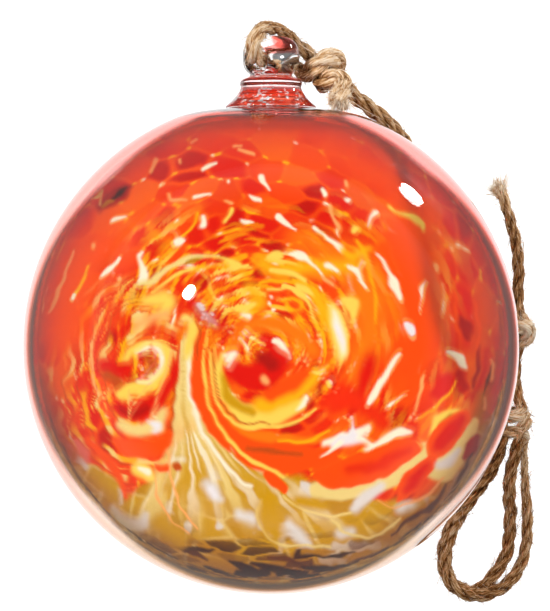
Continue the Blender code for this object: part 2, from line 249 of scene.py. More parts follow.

# Strokes of the frit, in the order they lie: colour, softness of the edge, then across, down and
# half width at each point
# painted highlights: the window lamp's glints broken into white dots, over a painted red and pinkish
# halo
# painted reflection: the yellow crescent under the key lamp's highlight, where the lamp is mirrored
# inside the wall
STROKES = """
# slow drifts of colour
orange 26  60 330 30  75 270 26  110 240 22
orange 22  330 150 12  400 190 16  430 260 16
orange 22  400 240 26  420 320 30  410 380 20
bright 18  300 240 10  350 262 16  372 310 18  360 370 12
orange 20  180 126 16  270 118 16  360 126 16
red 14  462 270 5  470 310 8  466 345 7
rust 14  35 380 8  48 420 12  70 455 10
scarlet 10  497 340 5  492 385 7  480 415 6
red 5  486 352 3  480 380 4  470 398 3
rust 2  496 352 1  493 372 2  487 394 1
dark_red 2  480 346 1  477 366 2.2  471 388 1
brown 1.6  490 366 0.8  487 380 1.6  482 396 0.8
rust 2  500 300 0.8  501 330 1.6  499 356 0.8
dark_red 3  461 316 2  467 326 6  468 338 3
orange 2  476 300 1  480 326 2  478 350 1
orange 2  456 292 1  458 312 2  456 330 1
ochre 10  482 398 4  474 436 5  452 478 6  420 512 5  380 538 4
beige 6  490 430 4  474 464 4.5  448 498 4
glow 9  262 262 5  280 272 6  318 268 7  350 262 6
glow 8  318 300 8  326 312 9  330 326 6
glow 8  252 288 5  262 300 5  248 310 5
# the swirl's heart
yellow 3  224 352 3  216 374 6  222 398 11  244 414 12  272 414 9  296 404 7
amber 3  222 376 3  230 398 5  252 410 4
glow 5  262 404 8  280 398 8  300 386 9  316 372 6
orange 5  270 392 8  290 384 8  306 372 5
bright 6  232 344 5  240 330 6  262 322 7  292 330 8  312 350 7
red 4  234 368 9  252 376 14  272 366 16  276 348 10  266 336 6
dark_red 5  262 356 6  274 362 7
cream 2.4  226 354 3  233 352 3.5  228 366 2
peach 3  265 378 3.6  267 380 3
glow 2  284 300 1.4  293 298 1.6  300 303 1.6  297 310 1.4  288 308 1.2  286 302 1
glow 1.6  262 284 1.2  288 282 1.8  308 292 2.4  320 308 2.6  322 326 1.6
yellow 1.4  270 290 0.8  290 290 1.2  304 300 1.4  312 316 1.6  318 332 1.6
yellow 1.4  274 272 2.2  292 274 2.4  306 282 2
# bands of the swirl
cream 2  188 338 1.4  188 372 2  192 404 2  204 436 2  224 462 2  250 486 1.4
milk 5  204 482 4  212 492 6  220 500 4
white 3  208 488 3  214 496 3
rust 1.2  178 350 0.8  175 384 1.2  173 416 1.2  166 446 0.8
orange 1.6  206 330 3  200 348 4.5  196 368 6  198 394 7  208 419 7  222 438 5  228 449 1
orange 2.2  208 352 2  209 382 4  219 410 8  236 433 13  254 449 17  276 457 18  306 458 14  334 456 8
bright 3  222 404 3  238 424 4  262 436 5  300 438 4  330 436 2
rust 3  246 446 2  270 452 3  300 454 2
yellow 1.2  205 348 1  203 374 1.5  208 403 1.6  221 428 1.6  236 446 1.8  256 463 2  284 478 1.4
yellow 1.2  212 350 1  210 380 1.5  220 406 1.6  241 423 1.8  268 426 1.8  296 420 1.6  315 406 1
rust 1  214 352 0.6  213 380 0.8  223 404 0.8  243 420 0.8  268 422 0.8
glow 1.4  330 428 1  306 438 1.6  276 442 1
# the small swirl at the left
yellow 5  146 300 5  166 300 8  160 316 5
yellow 3  184 316 4  193 324 6  190 342 5  186 356 3
rust 1.2  196 318 0.8  202 328 1.4  198 344 1  196 358 0.8
straw 3  180 320 3  190 318 2
peach 3  136 324 2.5  150 318 4  164 314 4
yellow 3  124 358 3  134 347 4.5  152 343 6  165 353 5  163 372 5  150 385 6  134 382 5  122 392 5
cream 2  138 350 2  152 346 3  160 356 2.4  158 370 2  148 378 2.4  138 376 2
rust 2.4  146 356 3  152 364 4  146 370 3
pink 1.2  150 346 1  154 356 1.2  148 364 1  140 374 1
red 3  104 364 6  116 368 8  126 366 5
rust 3  108 374 5  118 380 5
yellow 3  122 396 5  134 390 5  144 392 3
red 2.4  114 408 4  132 411 9  150 405 9  165 392 6  175 372 3  178 352 1
dark_red 4  120 409 2  134 412 4  148 407 3
straw 4  122 424 4  140 430 6  156 424 7  164 410 4
white 3  150 420 2  158 424 4  154 432 2
orange 4  118 440 5  136 448 9  156 446 9  166 434 4
yellow 3  134 470 5  142 472 7  148 480 4
cream 2  138 470 2  146 474 3
orange 1.4  158 470 4  165 469 4.5
rust 1.2  174 467 3.4  176 470 3.6
pink 3  78 444 3  84 452 5  88 460 3
orange 2  90 438 3  104 456 4  116 476 4  126 496 2
peach 1  91 340 0.8  92 362 1.2  95 384 1.2  103 397 1.6  112 388 1.2
peach 1  150 384 0.8  140 400 0.8  130 416 0.8
peach 1  170 350 1  166 374 1  158 398 1.2  150 420 1
peach 1  131 392 1  130 406 1  130 420 0.6
# cream specks between the grains, upper left
cream 1.2  201 170 1.4  208 166 1.9  215 163 1.2
peach 1.4  157 158 2.4  154 164 1.6  151 169 2
peach 1.4  191 143 1.2  196 140 1.4
peach 1.2  181 158 1.2  182 162 1.2
peach 1.2  164 181 1.6  164.5 184 1.4
cream 1.2  228 183 1.7  228.4 183.4 1.4
cream 1.4  262 175 3.2  265 180 2.4  271 187 0.8
cream 1.2  249 196 1  255 198 2  263 199 1.6
peach 1.2  170 194 1.4  173 200 1.6  186 200 1
cream 1.2  193 198 1.6  208 196 1.2
peach 1.2  224 201 1.2  230 205 1.8
glow 1.2  197 214 1.6  195 223 1.2  189 231 1.2  180 238 1
cream 1.4  202 218 2  203 224 2.8  200 228 1.4
yellow 1.2  231 212 2.4  227 218 1.8  224 222 1.8
cream 1.2  241 221 1.4  246 222 2  252 222 1.2
peach 1  159 233 1.2  172 232 1.2  176 238 1.6
cream 1.4  174 244 3.4  179 242 3.8  185 240 1.2
cream 1.3  111 220 1.6  116 217 2.4  125 214 1.2
peach 1.3  94 241 1.6  93 245 1.4
cream 1.3  119 254 1.6  113 262 2  108 268 3  100 275 1
cream 1.4  143 249 1  138 255 2.2  141 267 3.6  142 277 5  138 283 3
straw 1.6  136 282 3  150 281 4  162 274 3  176 266 3  192 260 4.4  204 257 2.4  220 256 1.4
ochre 1.2  188 265 2  194 263 2.6  200 261 1.4
yellow 1.4  206 256 1.4  222 259 1.8  234 265 4.6  242 267 2  251 270 0.8
yellow 1.2  152 290 1.2  166 284 1.4  182 275 1.6  196 271 2  206 277 1.6  213 288 1.4  218 299 2
glow 1.4  196 271 1.4  210 268 1.2  228 270 1
yellow 1.6  238 307 3  248 306 4  257 302 1.6
cream 1.6  244 313 2.4  250 315 3
cream 1.3  246 328 2.4  254 334 1.8  266 341 0.8
cream 1.2  239 334 1.4  244 342 1.8  249 351 1
peach 1.2  75 249 1  64 275 1.2  55 297 2  49 312 1.4
glow 1.4  89 262 1  80 283 1.2  71 300 1.6
cream 1.2  74 293 1.2  71 300 1.8
peach 1.2  46 288 1  42 300 1.4  41 312 0.8
peach 1.4  238 150 1.4  246 153 1.8  254 155 1.4
peach 1.4  232 147 1.2  240 146 1
# cream specks, upper right
cream 1.3  321 190 1.4  325 196 2
peach 1.3  328 207 2  331 215 1.2  341 228 1.6
cream 1.4  344 201 1.6  348 203 2.2
peach 1.6  344 183 1.8  346 187 1.6
cream 1.3  375 215 3  370 220 1.8  367 228 1.2
yellow 1.4  389 209 1.8  396 214 2  408 217 3.2  417 223 3.8  423 233 1.2
yellow 1.4  353 229 2.6  357 231 3
cream 1.3  280 215 3.6  284 220 3  290 226 1.4  296 230 0.8
cream 1.3  316 228 2  324 233 1  334 240 2.2  342 246 3.2
glow 3  344 248 3  352 254 3  366 250 2
yellow 1.8  270 257 3  276 255 5  282 257 2
cream 1.3  289 254 1.2  301 258 3.8  310 265 1.4  322 274 1
cream 1.3  326 264 2.8  336 270 1.4
cream 1.3  346 264 2  356 269 3  361 275 2.4  367 287 1
cream 1.2  362 260 1.4  360 268 1.6
glow 1.4  356 240 1.2  368 262 1.2  376 290 1.2  378 320 1
cream 1.3  376 254 0.8  383 261 1.4  390 271 1.4  393 281 3.8  396 290 2.8  398 299 0.8
cream 1.3  425 281 1.4  421 287 3  421 299 1  419 312 0.6
peach 1.4  437 266 2.4  438 273 1.6
peach 1.2  444 284 0.8  446 298 1  444.6 306 2  443 316 1.2
cream 1.2  445.4 300 0.8  444.6 306 1.4  444 311 0.8
white 1.4  405 321 2  410 327 4.4  413 332 2.4
yellow 2  346 298 4  354 302 6  355 312 3.4  352 322 1.6
yellow 3  334 306 5  338 320 9  340 340 8  342 352 6  340 360 2
cream 4  336 310 2  338 322 4.5  341 338 3.5  343 352 3
white 3  337 322 2  340 334 3  343 346 1
yellow 1.6  298 288 3  306 291 3.6  312 296 1
cream 1.4  276 341 3.4  283 346 3.4  290 355 1.6
glow 1.3  314 322 2  320 333 1.6
peach 1.3  323 277 1.6  333 285 1.2
orange 5  404 345 8  398 365 9  396 385 6
glow 1.6  310 372 1.6  320 370 2.4  331 361 1.6
cream 1.3  313 371 1  319 370.5 1.6  326 366 1
cream 1.3  330 379 2.4  331 381 2.2
glow 1.6  326 384 2.6  325 389 2
cream 1.4  305 397 2.4  300 404 2.4  295 409 1
red 8  372 362 8  368 378 9  362 394 5
scarlet 6  330 405 8  350 396 10  384 420 8
red 4  448 378 8  440 392 9
cream 1.2  402 350 1.2  396 361 2.8  386 377 2.6  376 393 2.6  369 403 2
cream 1.2  408 394 0.8  398 400 1.6  389 406 2.6
cream 1.3  448 352 3  458 356 4.6  463 364 2.6  465 368 1
peach 1.2  426 374 1  423 383 2  420 400 1  417 412 0.8
glow 1  458 380 0.8  446 396 1.2  432 410 1.2  418 419 1
peach 1.2  490 360 1.2  492 368 1.8  490 380 1
peach 1.2  484 398 1  482 408 1.6
# the lamp's broken glints
red 6  190 300 5  202 312 8  220 322 5  232 330 2
mauve 3  197 303 3  206 313 4  218 322 2
white 1  200 301 2.6  202 303 2.8
white 1  204 310 1.6  205 311 1.4
white 1  213 309 1.2  213.5 310 1.2
white 1  207 315 1.2  207.5 316 1
white 1  202 319 1  203 320 1
white 1  217 320 1.2  218 321 1.2
white 1  230 328 1.2  231 328.5 1
# the big grains at the lower right and the pale gaps round them
yellow 2  432 436 3  440 422 8  452 414 5  461 412 2
ochre 3  440 426 2  450 416 2
cream 2.4  324 442 2  338 438 4  354 433 5  368 425 2
white 3  334 444 3  348 438 6  362 438 3
cream 1.6  342 442 3  332 450 1.8  322 456 0.8
cream 1.6  360 436 3  372 442 1.8  382 441 0.8
white 1.4  354 432 4  353 422 1.8  352.6 413 0.6
straw 2  320 492 8  344 486 14  372 474 18  404 462 18  424 452 12  442 470 12  466 444 8  474 422 3
cream 2  366 448 3  384 438 4.6  402 430 4.6  410 430 3
orange 1.2  322 478 6  336 479 11  356 470 14.5  380 459 15  402 449 13  414 446 8
scarlet 5  350 470 4  376 462 6  400 452 5  410 448 4
orange 1.2  402 499 3  408 488 9  419 474 10  430 462 6  434 458 3
red 5  410 488 4  420 474 6  428 464 3
orange 1.2  434 452 6  440 444 13  450 432 13  460 420 9  464 414 4
red 4  440 446 7  450 434 8  460 420 5
dark_red 2  465 458 3  471 449 6  477 438 3
orange 1.2  266 474 3  274 482 6  284 491 4  287 494 1
milk 3  440 466 5  450 462 5  458 452 2
# milk in the amber
milk 4  354 510 4  366 498 7  380 484 5
milk 6  290 524 4  300 540 6  306 548 4
milk 5  340 532 4  350 531 4
milk 5  404 510 5  412 506 4
milk 5  242 516 5  252 520 5
milk 4  112 508 3  122 520 5  140 524 7  146 516 3
peach 1.1  152 480 0.7  158 500 1  172 522 1  190 534 0.8
peach 1.1  166 450 0.8  170 480 1.1  182 510 1  198 530 0.8
straw 1.3  284 497 1  302 510 1.2  326 517 1.1  352 515 1
straw 1.3  262 500 1  257 518 1.2  268 536 1.2  294 548 1.1  330 545 1
straw 1.3  330 520 1  352 534 1.2  378 534 1.1  402 520 1
peach 1.1  380 500 0.8  398 508 1  420 500 1  444 478 0.8
amber 6  268 500 8  270 520 12  276 534 7
amber 5  300 502 6  322 506 6
amber 5  98 476 5  108 490 9  116 502 4
amber 6  160 524 8  180 540 8
# dark frit round the underside
umber 1.2  125 530 0.8  132 535 2  138 541 0.8
umber 1.2  146 545 1  156 551 3  168 557 3.2  177 561 1
brown 1.4  186 550 1  197 554 2.4  208 559 1
umber 1.2  206 566 1  218 571 4  232 576 3.6  242 579 1.2
umber 1.2  230 559 1  240 563 3.4  252 569 3.6  262 574 1.4
brown 1.6  188 568 1  202 574 2.6  220 581 1.4
umber 1.4  252 562 2  270 568 4  290 573 4  306 575 1.4
brown 1.4  268 557 1.4  286 560 2.6  300 565 1.2
umber 1.4  300 566 1.2  322 569 3.4  346 568 3  360 564 1
umber 1.2  322 556 1  338 554 2.2  354 549 1
brown 1.4  350 562 1  372 556 3  394 547 1
umber 1.2  372 560 1  390 552 2  410 540 1
umber 1.2  402 538 1  418 530 2.4  434 519 1
brown 1.2  392 534 1  412 520 2  432 504 2.2  446 484 1
umber 1  430 526 0.8  446 510 1.4  460 488 1  468 472 0.6
brown 1.2  446 500 1  460 478 1.8  472 454 1
ochre 2  300 554 2  320 552 3  334 549 1.6
umber 1.3  110 524 0.8  96 506 1.6  84 486 1
brown 1.4  84 492 1  72 470 2  62 446 1
brown 1.3  66 466 0.8  54 440 1.6  46 412 0.8
# the dark grain at the left rim
dark_red 3  98 208 4  110 198 7  122 189 6  130 184 2
umber 2  112 198 1.4  120 190 2.6  125 186 1
ochre 1.4  100 208 1  106 203 1.6  112 200 1
straw 1  90 197 1  96 196 1.6  100 190 1  98 206 0.8
"""

# Sizes of the tables of random numbers
DRIFT_TABLE = (97, 89)
GRAIN_TABLE = (160, 211)
# Where the red grains are drawn open: middle, reach, softness of the edge and strength
OPEN_PARTS = (
    ((304.0, 298.0), (112.0, 74.0), 0.55, 1.0), ((190.0, 275.0), (80.0, 50.0), 0.55, 0.8),
    ((400.0, 330.0), (80.0, 120.0), 0.5, 0.35),
)
SMALL_SWIRL_MIDDLE = (152.0, 366.0)
SMALL_SWIRL_BANDS = ((116.0, 390.0), (66.0, 104.0), 0.22)
SMALL_SWIRL_RIGHT = 184.0
# The tail's two edges: down, left edge and right edge
TAIL_EDGES = (
    (326.0, 183.0, 188.0), (348.0, 179.0, 193.0), (372.0, 176.0, 195.0), (404.0, 175.0, 203.0),
    (430.0, 170.0, 222.0), (450.0, 164.0, 248.0), (480.0, 150.0, 292.0), (510.0, 136.0, 330.0),
    (545.0, 122.0, 372.0),
)
TAIL_ROOT = (186.0, 350.0)
# How far down the tail begins, mixes with the amber and ends
TAIL_TOP = (326.0, 342.0)
TAIL_MIX = (400.0, 500.0)
TAIL_END = (480.0, 545.0)
# The middle of the amber grains' rings, and how far down they darken
AMBER_MIDDLE = (262.0, 200.0)
AMBER_DEEP = (524.0, 568.0)

# Stage
FLOOR_SIZE = 6.0
FLOOR_BELOW = 0.1 * MM
CARD_MIDDLE = (-6.0 * MM, 5.0 * MM)
CARD_HALF = (101.0 * MM, 109.0 * MM)
CARD_FADE = 16.0 * MM
CARD_CORNER = 4.0 * MM
CARD_LIGHT = 1.28
TABLE_LIGHT = 0.15
FLOOR_STOPS = ((0.0, 0.05, 0.05, 0.05), (1.0, 0.07, 0.07, 0.07))
# The studio round it, from level upward
SKY_STOPS = ((0.0, 0.36, 0.34, 0.34), (0.30, 0.07, 0.07, 0.075))
# Lamps: name, place, what it shines at, size, power, and whether the glass mirrors it
LAMPS = (
    ("key", (0.196, 0.211, 0.03), (0.05, 0.05, 0.09), (0.040, 0.030), 0.35, True),
    ("window", (-0.575, 0.385, 0.80), (0.0, 0.0, 0.07), (0.11, 0.075), 8.0, True),
    ("fill", (0.35, 0.1, 0.9), (0.0, 0.0, 0.07), (0.4, 0.4), 5.0, False),
)


def smooth_step(value, low, high):
    share = np.clip((value - low) / (high - low), 0.0, 1.0)
    return share * share * (3.0 - 2.0 * share)


def ball_centre():
    return np.array((0.0, 0.0, math.sqrt(BALL_RADIUS**2 - REST_SPOT_RADIUS**2)))


def photo_camera():
    """Looks straight down, with the ball's axis up in the picture."""
    data = bpy.data.cameras.new("photo_camera")
    data.lens = CAMERA_LENS
    data.sensor_width = CAMERA_SENSOR
    data.clip_start = 0.05
    data.clip_end = 20.0
    camera = bpy.data.objects.new("photo_camera", data)
    camera.location = CAMERA_PLACE
    bpy.context.scene.collection.objects.link(camera)
    bpy.context.scene.camera = camera


def piece(name, points, faces, finish):
    """A mesh object on the part's one body."""
    mesh = bpy.data.meshes.new(name)
    mesh.from_pydata([tuple(point) for point in points], [], [tuple(face) for face in faces])
    mesh.shade_smooth()
    mesh.materials.append(finish)
    obj = bpy.data.objects.new(name, mesh)
    bpy.context.scene.collection.objects.link(obj)
    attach(obj, "root")
    return obj


def keep_numbers(obj, name, values, kind="FLOAT"):
    """Stores one number, vector or colour for each vertex."""
    layer = obj.data.attributes.new(name, kind, "POINT")
    key = {"FLOAT": "value", "FLOAT_VECTOR": "vector", "FLOAT_COLOR": "color"}[kind]
    layer.data.foreach_set(key, np.ascontiguousarray(values, dtype=np.float32).ravel())


def finish_nodes(name):
    """A new material, its node tree and its shader."""
    finish = bpy.data.materials.new(name)
    finish.use_nodes = True
    tree = finish.node_tree
    return finish, tree, tree.nodes["Principled BSDF"]


def add_node(tree, kind, inputs=None, **settings):
    node = tree.nodes.new(kind)
    for key, value in settings.items():
        setattr(node, key, value)
    for key, value in (inputs or {}).items():
        if isinstance(value, bpy.types.NodeSocket):
            tree.links.new(value, node.inputs[key])
        else:
            node.inputs[key].default_value = value
    return node


def colour_stops(ramp, rows):
    """Sets a colour ramp from rows of place, red, green and blue."""
    stops = ramp.color_ramp.elements
    stops[0].position, stops[1].position = rows[0][0], rows[-1][0]
    stops[0].color, stops[1].color = (*rows[0][1:], 1.0), (*rows[-1][1:], 1.0)
    for position, *colour in rows[1:-1]:
        stops.new(position).color = (*colour, 1.0)


# Cord

def curve_through(knots, steps):
    """A Catmull-Rom curve through rows of numbers, with so many steps from each to the next."""
    ends = np.vstack([2.0 * knots[:1] - knots[1:2], knots, 2.0 * knots[-1:] - knots[-2:-1]])
    share = np.arange(1, steps + 1)[:, None] / steps
    line = [knots[:1]]
    for before, start, end, after in zip(ends, ends[1:], ends[2:], ends[3:]):
        line.append(0.5 * (
            2.0 * start + (end - before) * share
            + (2.0 * before - 5.0 * start + 4.0 * end - after) * share**2
            + (3.0 * start - 3.0 * end + after - before) * share**3
        ))
    return np.vstack(line)


def smooth_route(route, spacing):
    """Even steps along the route; the first three columns are the place in metres."""
    knots = np.array(route, dtype=float)
    knots[:, :4] *= MM
    fine = curve_through(knots, 24)
    reached = np.concatenate([[0.0], np.cumsum(np.linalg.norm(np.diff(fine[:, :3], axis=0), axis=1))])
    count = max(round(reached[-1] / spacing), 2)
    wanted = np.linspace(0.0, reached[-1], count + 1)
    return np.column_stack([np.interp(wanted, reached, fine[:, k]) for k in range(fine.shape[1])])


def frames_along(line):
    """Unit directions across the line that turn with it as little as they can."""
    ahead = np.gradient(line, axis=0)
    ahead /= np.linalg.norm(ahead, axis=1)[:, None]
    side = np.zeros_like(line)
    side[0] = np.cross(ahead[0], (0.3, 0.2, 0.93))
    side[0] /= np.linalg.norm(side[0])
    for index in range(1, len(line)):
        kept = side[index - 1] - ahead[index] * (side[index - 1] @ ahead[index])
        side[index] = kept / np.linalg.norm(kept)
    return ahead, side, np.cross(ahead, side)


def soft_noise(values, scale, seed):
    """Smooth random numbers from -1 to 1 along a line."""
    random = np.random.default_rng(seed)
    place = np.asarray(values) / scale + 3.0
    table = random.uniform(-1.0, 1.0, int(place.max()) + 4)
    low = np.floor(place).astype(int)
    share = place - low
    share = share * share * (3.0 - 2.0 * share)
    return table[low] * (1.0 - share) + table[low + 1] * share


def strand_points(line, radii, along, number):
    """Rings of one strand, their places for the fibres' pattern, and how much painted shade they get
    for lying deep in the grooves between the strands.
    """
    ahead, side, other = frames_along(line)
    turn = math.tau * (along / LAY_LENGTH + number / STRAND_COUNT)
    swell = 1.0 + 0.10 * soft_noise(along, 4.0 * MM, 20 + number)
    centre_out = radii * STRAND_OFFSET
    centre = line + (side * np.cos(turn)[:, None] + other * np.sin(turn)[:, None]) * centre_out[:, None]
    strand_ahead, strand_side, strand_other = frames_along(centre)
    angles = np.arange(STRAND_SIDES) * math.tau / STRAND_SIDES
    yarn = 5.0 * angles[None, :] - (math.tau * along / (0.45 * LAY_LENGTH))[:, None]
    radius = (radii * STRAND_RADIUS * swell)[:, None] * (1.0 + 0.06 * np.cos(yarn))
    radius *= 1.0 + 0.05 * np.random.default_rng(40 + number).uniform(-1.0, 1.0, radius.shape)
    points = (
        centre[:, None, :]
        + strand_side[:, None, :] * (radius * np.cos(angles))[:, :, None]
        + strand_other[:, None, :] * (radius * np.sin(angles))[:, :, None]
    )
    twist = angles[None, :] + (math.tau * along / (1.4 * LAY_LENGTH))[:, None]
    pattern = np.stack([
        np.cos(twist) * 2.4, np.sin(twist) * 2.4,
        np.repeat((along / MM * 0.30 + 9.0 * number)[:, None], STRAND_SIDES, axis=1),
    ], axis=2)
    out = np.linalg.norm(points - line[:, None, :], axis=2) / radii[:, None]
    return points, pattern, 1.0 - smooth_step(out, GROOVE_SHADE_REACH[0], GROOVE_SHADE_REACH[1])


def tube_faces(rings, sides, first):
    ring = np.arange(rings - 1)[:, None] * sides + first
    side = np.arange(sides)[None, :]
    after = (side + 1) % sides
    quads = np.stack([ring + side, ring + after, ring + sides + after, ring + sides + side], axis=2)
    faces = quads.reshape(-1, 4).tolist()
    faces.append(list(range(first + sides - 1, first - 1, -1)))
    last = first + (rings - 1) * sides
    faces.append(list(range(last, last + sides)))
    return faces


def jute_finish(name):
    finish, tree, shader = finish_nodes(name)
    place = add_node(tree, "ShaderNodeAttribute", attribute_name="fibre_place")
    pale = add_node(tree, "ShaderNodeAttribute", attribute_name="pale")
    streak = add_node(tree, "ShaderNodeTexNoise", {
        "Vector": place.outputs["Vector"], "Scale": 1.5, "Detail": 4.0, "Roughness": 0.7,
    })
    blotch = add_node(tree, "ShaderNodeTexNoise", {
        "Vector": place.outputs["Vector"], "Scale": 0.35, "Detail": 2.0,
    })
    wide = add_node(tree, "ShaderNodeMapRange", {
        "Value": streak.outputs["Fac"], "From Min": 0.34, "From Max": 0.66, "To Max": 0.62,
    })
    lit = add_node(tree, "ShaderNodeMath", {
        0: blotch.outputs["Fac"], 1: 0.22, 2: wide.outputs["Result"],
    }, operation="MULTIPLY_ADD")
    # the pale attribute is painted light and shade added to the fibres' streaky tone: lighter on the
    # cord's tops, darker low down and in the grooves between the strands
    tone_and_painted_light = add_node(tree, "ShaderNodeMath", {
        0: pale.outputs["Fac"], 1: 0.42, 2: lit.outputs[0],
    }, operation="MULTIPLY_ADD")
    ramp = add_node(tree, "ShaderNodeValToRGB", {"Fac": tone_and_painted_light.outputs[0]})
    colour_stops(ramp, JUTE_STOPS)
    bump = add_node(tree, "ShaderNodeBump", {
        "Height": streak.outputs["Fac"], "Strength": 1.0, "Distance": 0.5 * MM,
    })
    tree.links.new(ramp.outputs["Color"], shader.inputs["Base Color"])
    tree.links.new(bump.outputs["Normal"], shader.inputs["Normal"])
    shader.inputs["Roughness"].default_value = 0.82
    shader.inputs["Specular IOR Level"].default_value = 0.25
    return finish


def hanging_cord():
    """One rope of three twisted strands along the whole route."""
    route = smooth_route(CORD_ROUTE, ROPE_STEP)
    line, radii, painted_cord_light = route[:, :3], route[:, 3], route[:, 4]
    along = np.concatenate([[0.0], np.cumsum(np.linalg.norm(np.diff(line, axis=0), axis=1))])
    points, faces, pattern, groove = [], [], [], []
    for number in range(STRAND_COUNT):
        strand, places, depth = strand_points(line, radii, along, number)
        groove.append(depth.ravel())
        faces += tube_faces(len(line), STRAND_SIDES, number * strand.shape[0] * STRAND_SIDES)
        points.append(strand.reshape(-1, 3))
        pattern.append(places.reshape(-1, 3))
    points = np.vstack(points)
    points[:, 2] = np.maximum(points[:, 2], 0.15 * MM)
    rope = piece("hanging_cord", points, faces, jute_finish("jute_strands"))
    keep_numbers(rope, "fibre_place", np.vstack(pattern), "FLOAT_VECTOR")
    # the pale attribute holds painted light and shade: the route's painted light, less painted shade in
    # the grooves between the strands
    pale = np.tile(np.repeat(painted_cord_light, STRAND_SIDES), STRAND_COUNT)
    keep_numbers(rope, "pale", pale - GROOVE_PAINTED_SHADE * np.concatenate(groove))
    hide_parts(*CORD_NODES)
    return rope, line, radii, painted_cord_light, along[-1]


def hair_mesh(roots, outs, bends, lengths, radii):
    """Thin three-sided hairs that start at roots, go outs and curl along bends."""
    steps = np.linspace(0.0, 1.0, 5)
    centre = (
        roots[:, None, :]
        + outs[:, None, :] * (lengths[:, None] * steps)[:, :, None]
        + bends[:, None, :] * (lengths[:, None] * steps**2)[:, :, None]
    )
    across = np.cross(outs, bends)
    across /= np.maximum(np.linalg.norm(across, axis=1), 1e-9)[:, None]
    up = np.cross(across, outs)
    thin = radii[:, None] * (1.0 - 0.8 * steps)
    rings = []
    for angle in (0.0, math.tau / 3, 2 * math.tau / 3):
        rings.append(
            centre
            + across[:, None, :] * (thin * math.cos(angle))[:, :, None]
            + up[:, None, :] * (thin * math.sin(angle))[:, :, None]
        )
    points = np.stack(rings, axis=2).reshape(-1, 3)
    faces = []
    for hair in range(len(roots)):
        for step in range(4):
            first = (hair * 5 + step) * 3
            for side in range(3):
                after = (side + 1) % 3
                faces.append((first + side, first + after, first + 3 + after, first + 3 + side))
    return points, faces


def cord_fibres(rope, line, radii, painted_cord_light):
    """Loose hairs all along the cord, and brushes of them at its two cut ends."""
    random = np.random.default_rng(7)
    points = np.empty(len(rope.data.vertices) * 3)
    rope.data.vertices.foreach_get("co", points)
    points = points.reshape(-1, 3)
    rings = len(line)
    likely = np.repeat(1.0 + 2.5 * np.clip(painted_cord_light, 0.0, 1.0), STRAND_SIDES)
    likely = np.tile(likely, STRAND_COUNT)
    picked = random.choice(len(points), HAIR_COUNT, p=likely / likely.sum())
    ring = (picked // STRAND_SIDES) % rings
    ahead = frames_along(line)[0]
    outward = points[picked] - line[ring]
    outward /= np.linalg.norm(outward, axis=1)[:, None]
    loose = outward * random.uniform(0.2, 0.8, (HAIR_COUNT, 1))
    loose += ahead[ring] * random.choice([-1.0, 1.0], (HAIR_COUNT, 1))
    loose += random.normal(0.0, 0.3, loose.shape)
    loose /= np.linalg.norm(loose, axis=1)[:, None]
    curl = random.normal(0.0, 0.35, loose.shape)
    lengths = random.uniform(*HAIR_LENGTH, HAIR_COUNT)
    thick = HAIR_RADIUS * random.uniform(0.6, 1.3, HAIR_COUNT)
    # each loose hair takes the painted light of its place on the cord; a random tone of its own is
    # added further down
    pale = painted_cord_light[ring]
    ends = []
    for index, way in ((0, -1.0), (rings - 1, 1.0)):
        direction = ahead[index] * way
        spread = random.normal(0.0, 0.42, (END_HAIR_COUNT, 3))
        out = direction + spread
        out /= np.linalg.norm(out, axis=1)[:, None]
        start = line[index] + spread * radii[index] * 0.9 - direction * 1.2 * MM
        ends.append((start, out, random.normal(0.0, 0.3, out.shape),
                     random.uniform(*END_HAIR_LENGTH, END_HAIR_COUNT)))
    wisps = np.array(WISPS) * MM
    reach = np.linalg.norm(wisps[:, 1], axis=1)
    roots = np.vstack([points[picked]] + [end[0] for end in ends] + [wisps[:, 0]])
    outs = np.vstack([loose] + [end[1] for end in ends] + [wisps[:, 1] / reach[:, None]])
    bends = np.vstack([curl] + [end[2] for end in ends] + [wisps[:, 2] / reach[:, None]])
    lengths = np.concatenate([lengths] + [end[3] for end in ends] + [reach])
    thick = np.concatenate([
        thick, np.full(2 * END_HAIR_COUNT, 1.6 * HAIR_RADIUS), np.full(len(wisps), WISP_RADIUS),
    ])
    hair_points, faces = hair_mesh(roots, outs, bends, lengths, thick)
    hair_points[:, 2] = np.maximum(hair_points[:, 2], 0.1 * MM)
    hairs = piece("cord_fibres", hair_points, faces, jute_finish("jute_hairs"))
    pale = np.concatenate([pale, np.ones(2 * END_HAIR_COUNT + len(wisps))])
    shade = np.where(np.arange(len(pale)) < HAIR_COUNT, random.uniform(-0.9, 1.0, len(pale)), 0.35)
    keep_numbers(hairs, "pale", np.repeat(np.clip(pale + shade, -0.6, 1.4), 15))
    keep_numbers(hairs, "fibre_place", hair_points / MM * 0.4, "FLOAT_VECTOR")
    return hairs


def cord():
    rope, line, radii, painted_cord_light, length = hanging_cord()
    hairs = cord_fibres(rope, line, radii, painted_cord_light)


# Glass

def disc_grid(count):
    """A square grid pressed into the unit disc, its rows kept apart as evenly as they can be."""
    line = np.linspace(-1.0, 1.0, count)
    across, up = np.meshgrid(line, line)
    wide = np.abs(across) >= np.abs(up)
    radius = np.where(wide, across, up)
    with np.errstate(divide="ignore", invalid="ignore"):
        angle = np.where(
            wide, math.pi / 4.0 * up / across, math.pi / 2.0 - math.pi / 4.0 * across / up
        )
    angle = np.where(radius == 0.0, 0.0, angle)
    return (radius * np.cos(angle)).ravel(), (radius * np.sin(angle)).ravel()


def half_sphere(count, side):
    """Directions over the half that faces +Z or -Z, and its quads, which face outward."""
    across, up = disc_grid(count)
    radius = np.clip(np.hypot(across, up), 1e-9, 1.0)
    tilt = np.arcsin(HALF_REACH * radius) * (math.pi / 2.0) / math.asin(HALF_REACH)
    share = np.sin(tilt) / radius
    directions = np.column_stack([across * share, up * share, side * np.cos(tilt)])
    first = (np.arange(count - 1)[:, None] * count + np.arange(count - 1)[None, :]).ravel()
    quads = np.column_stack([first, first + 1, first + count + 1, first + count])
    return directions, quads if side > 0 else quads[:, ::-1]


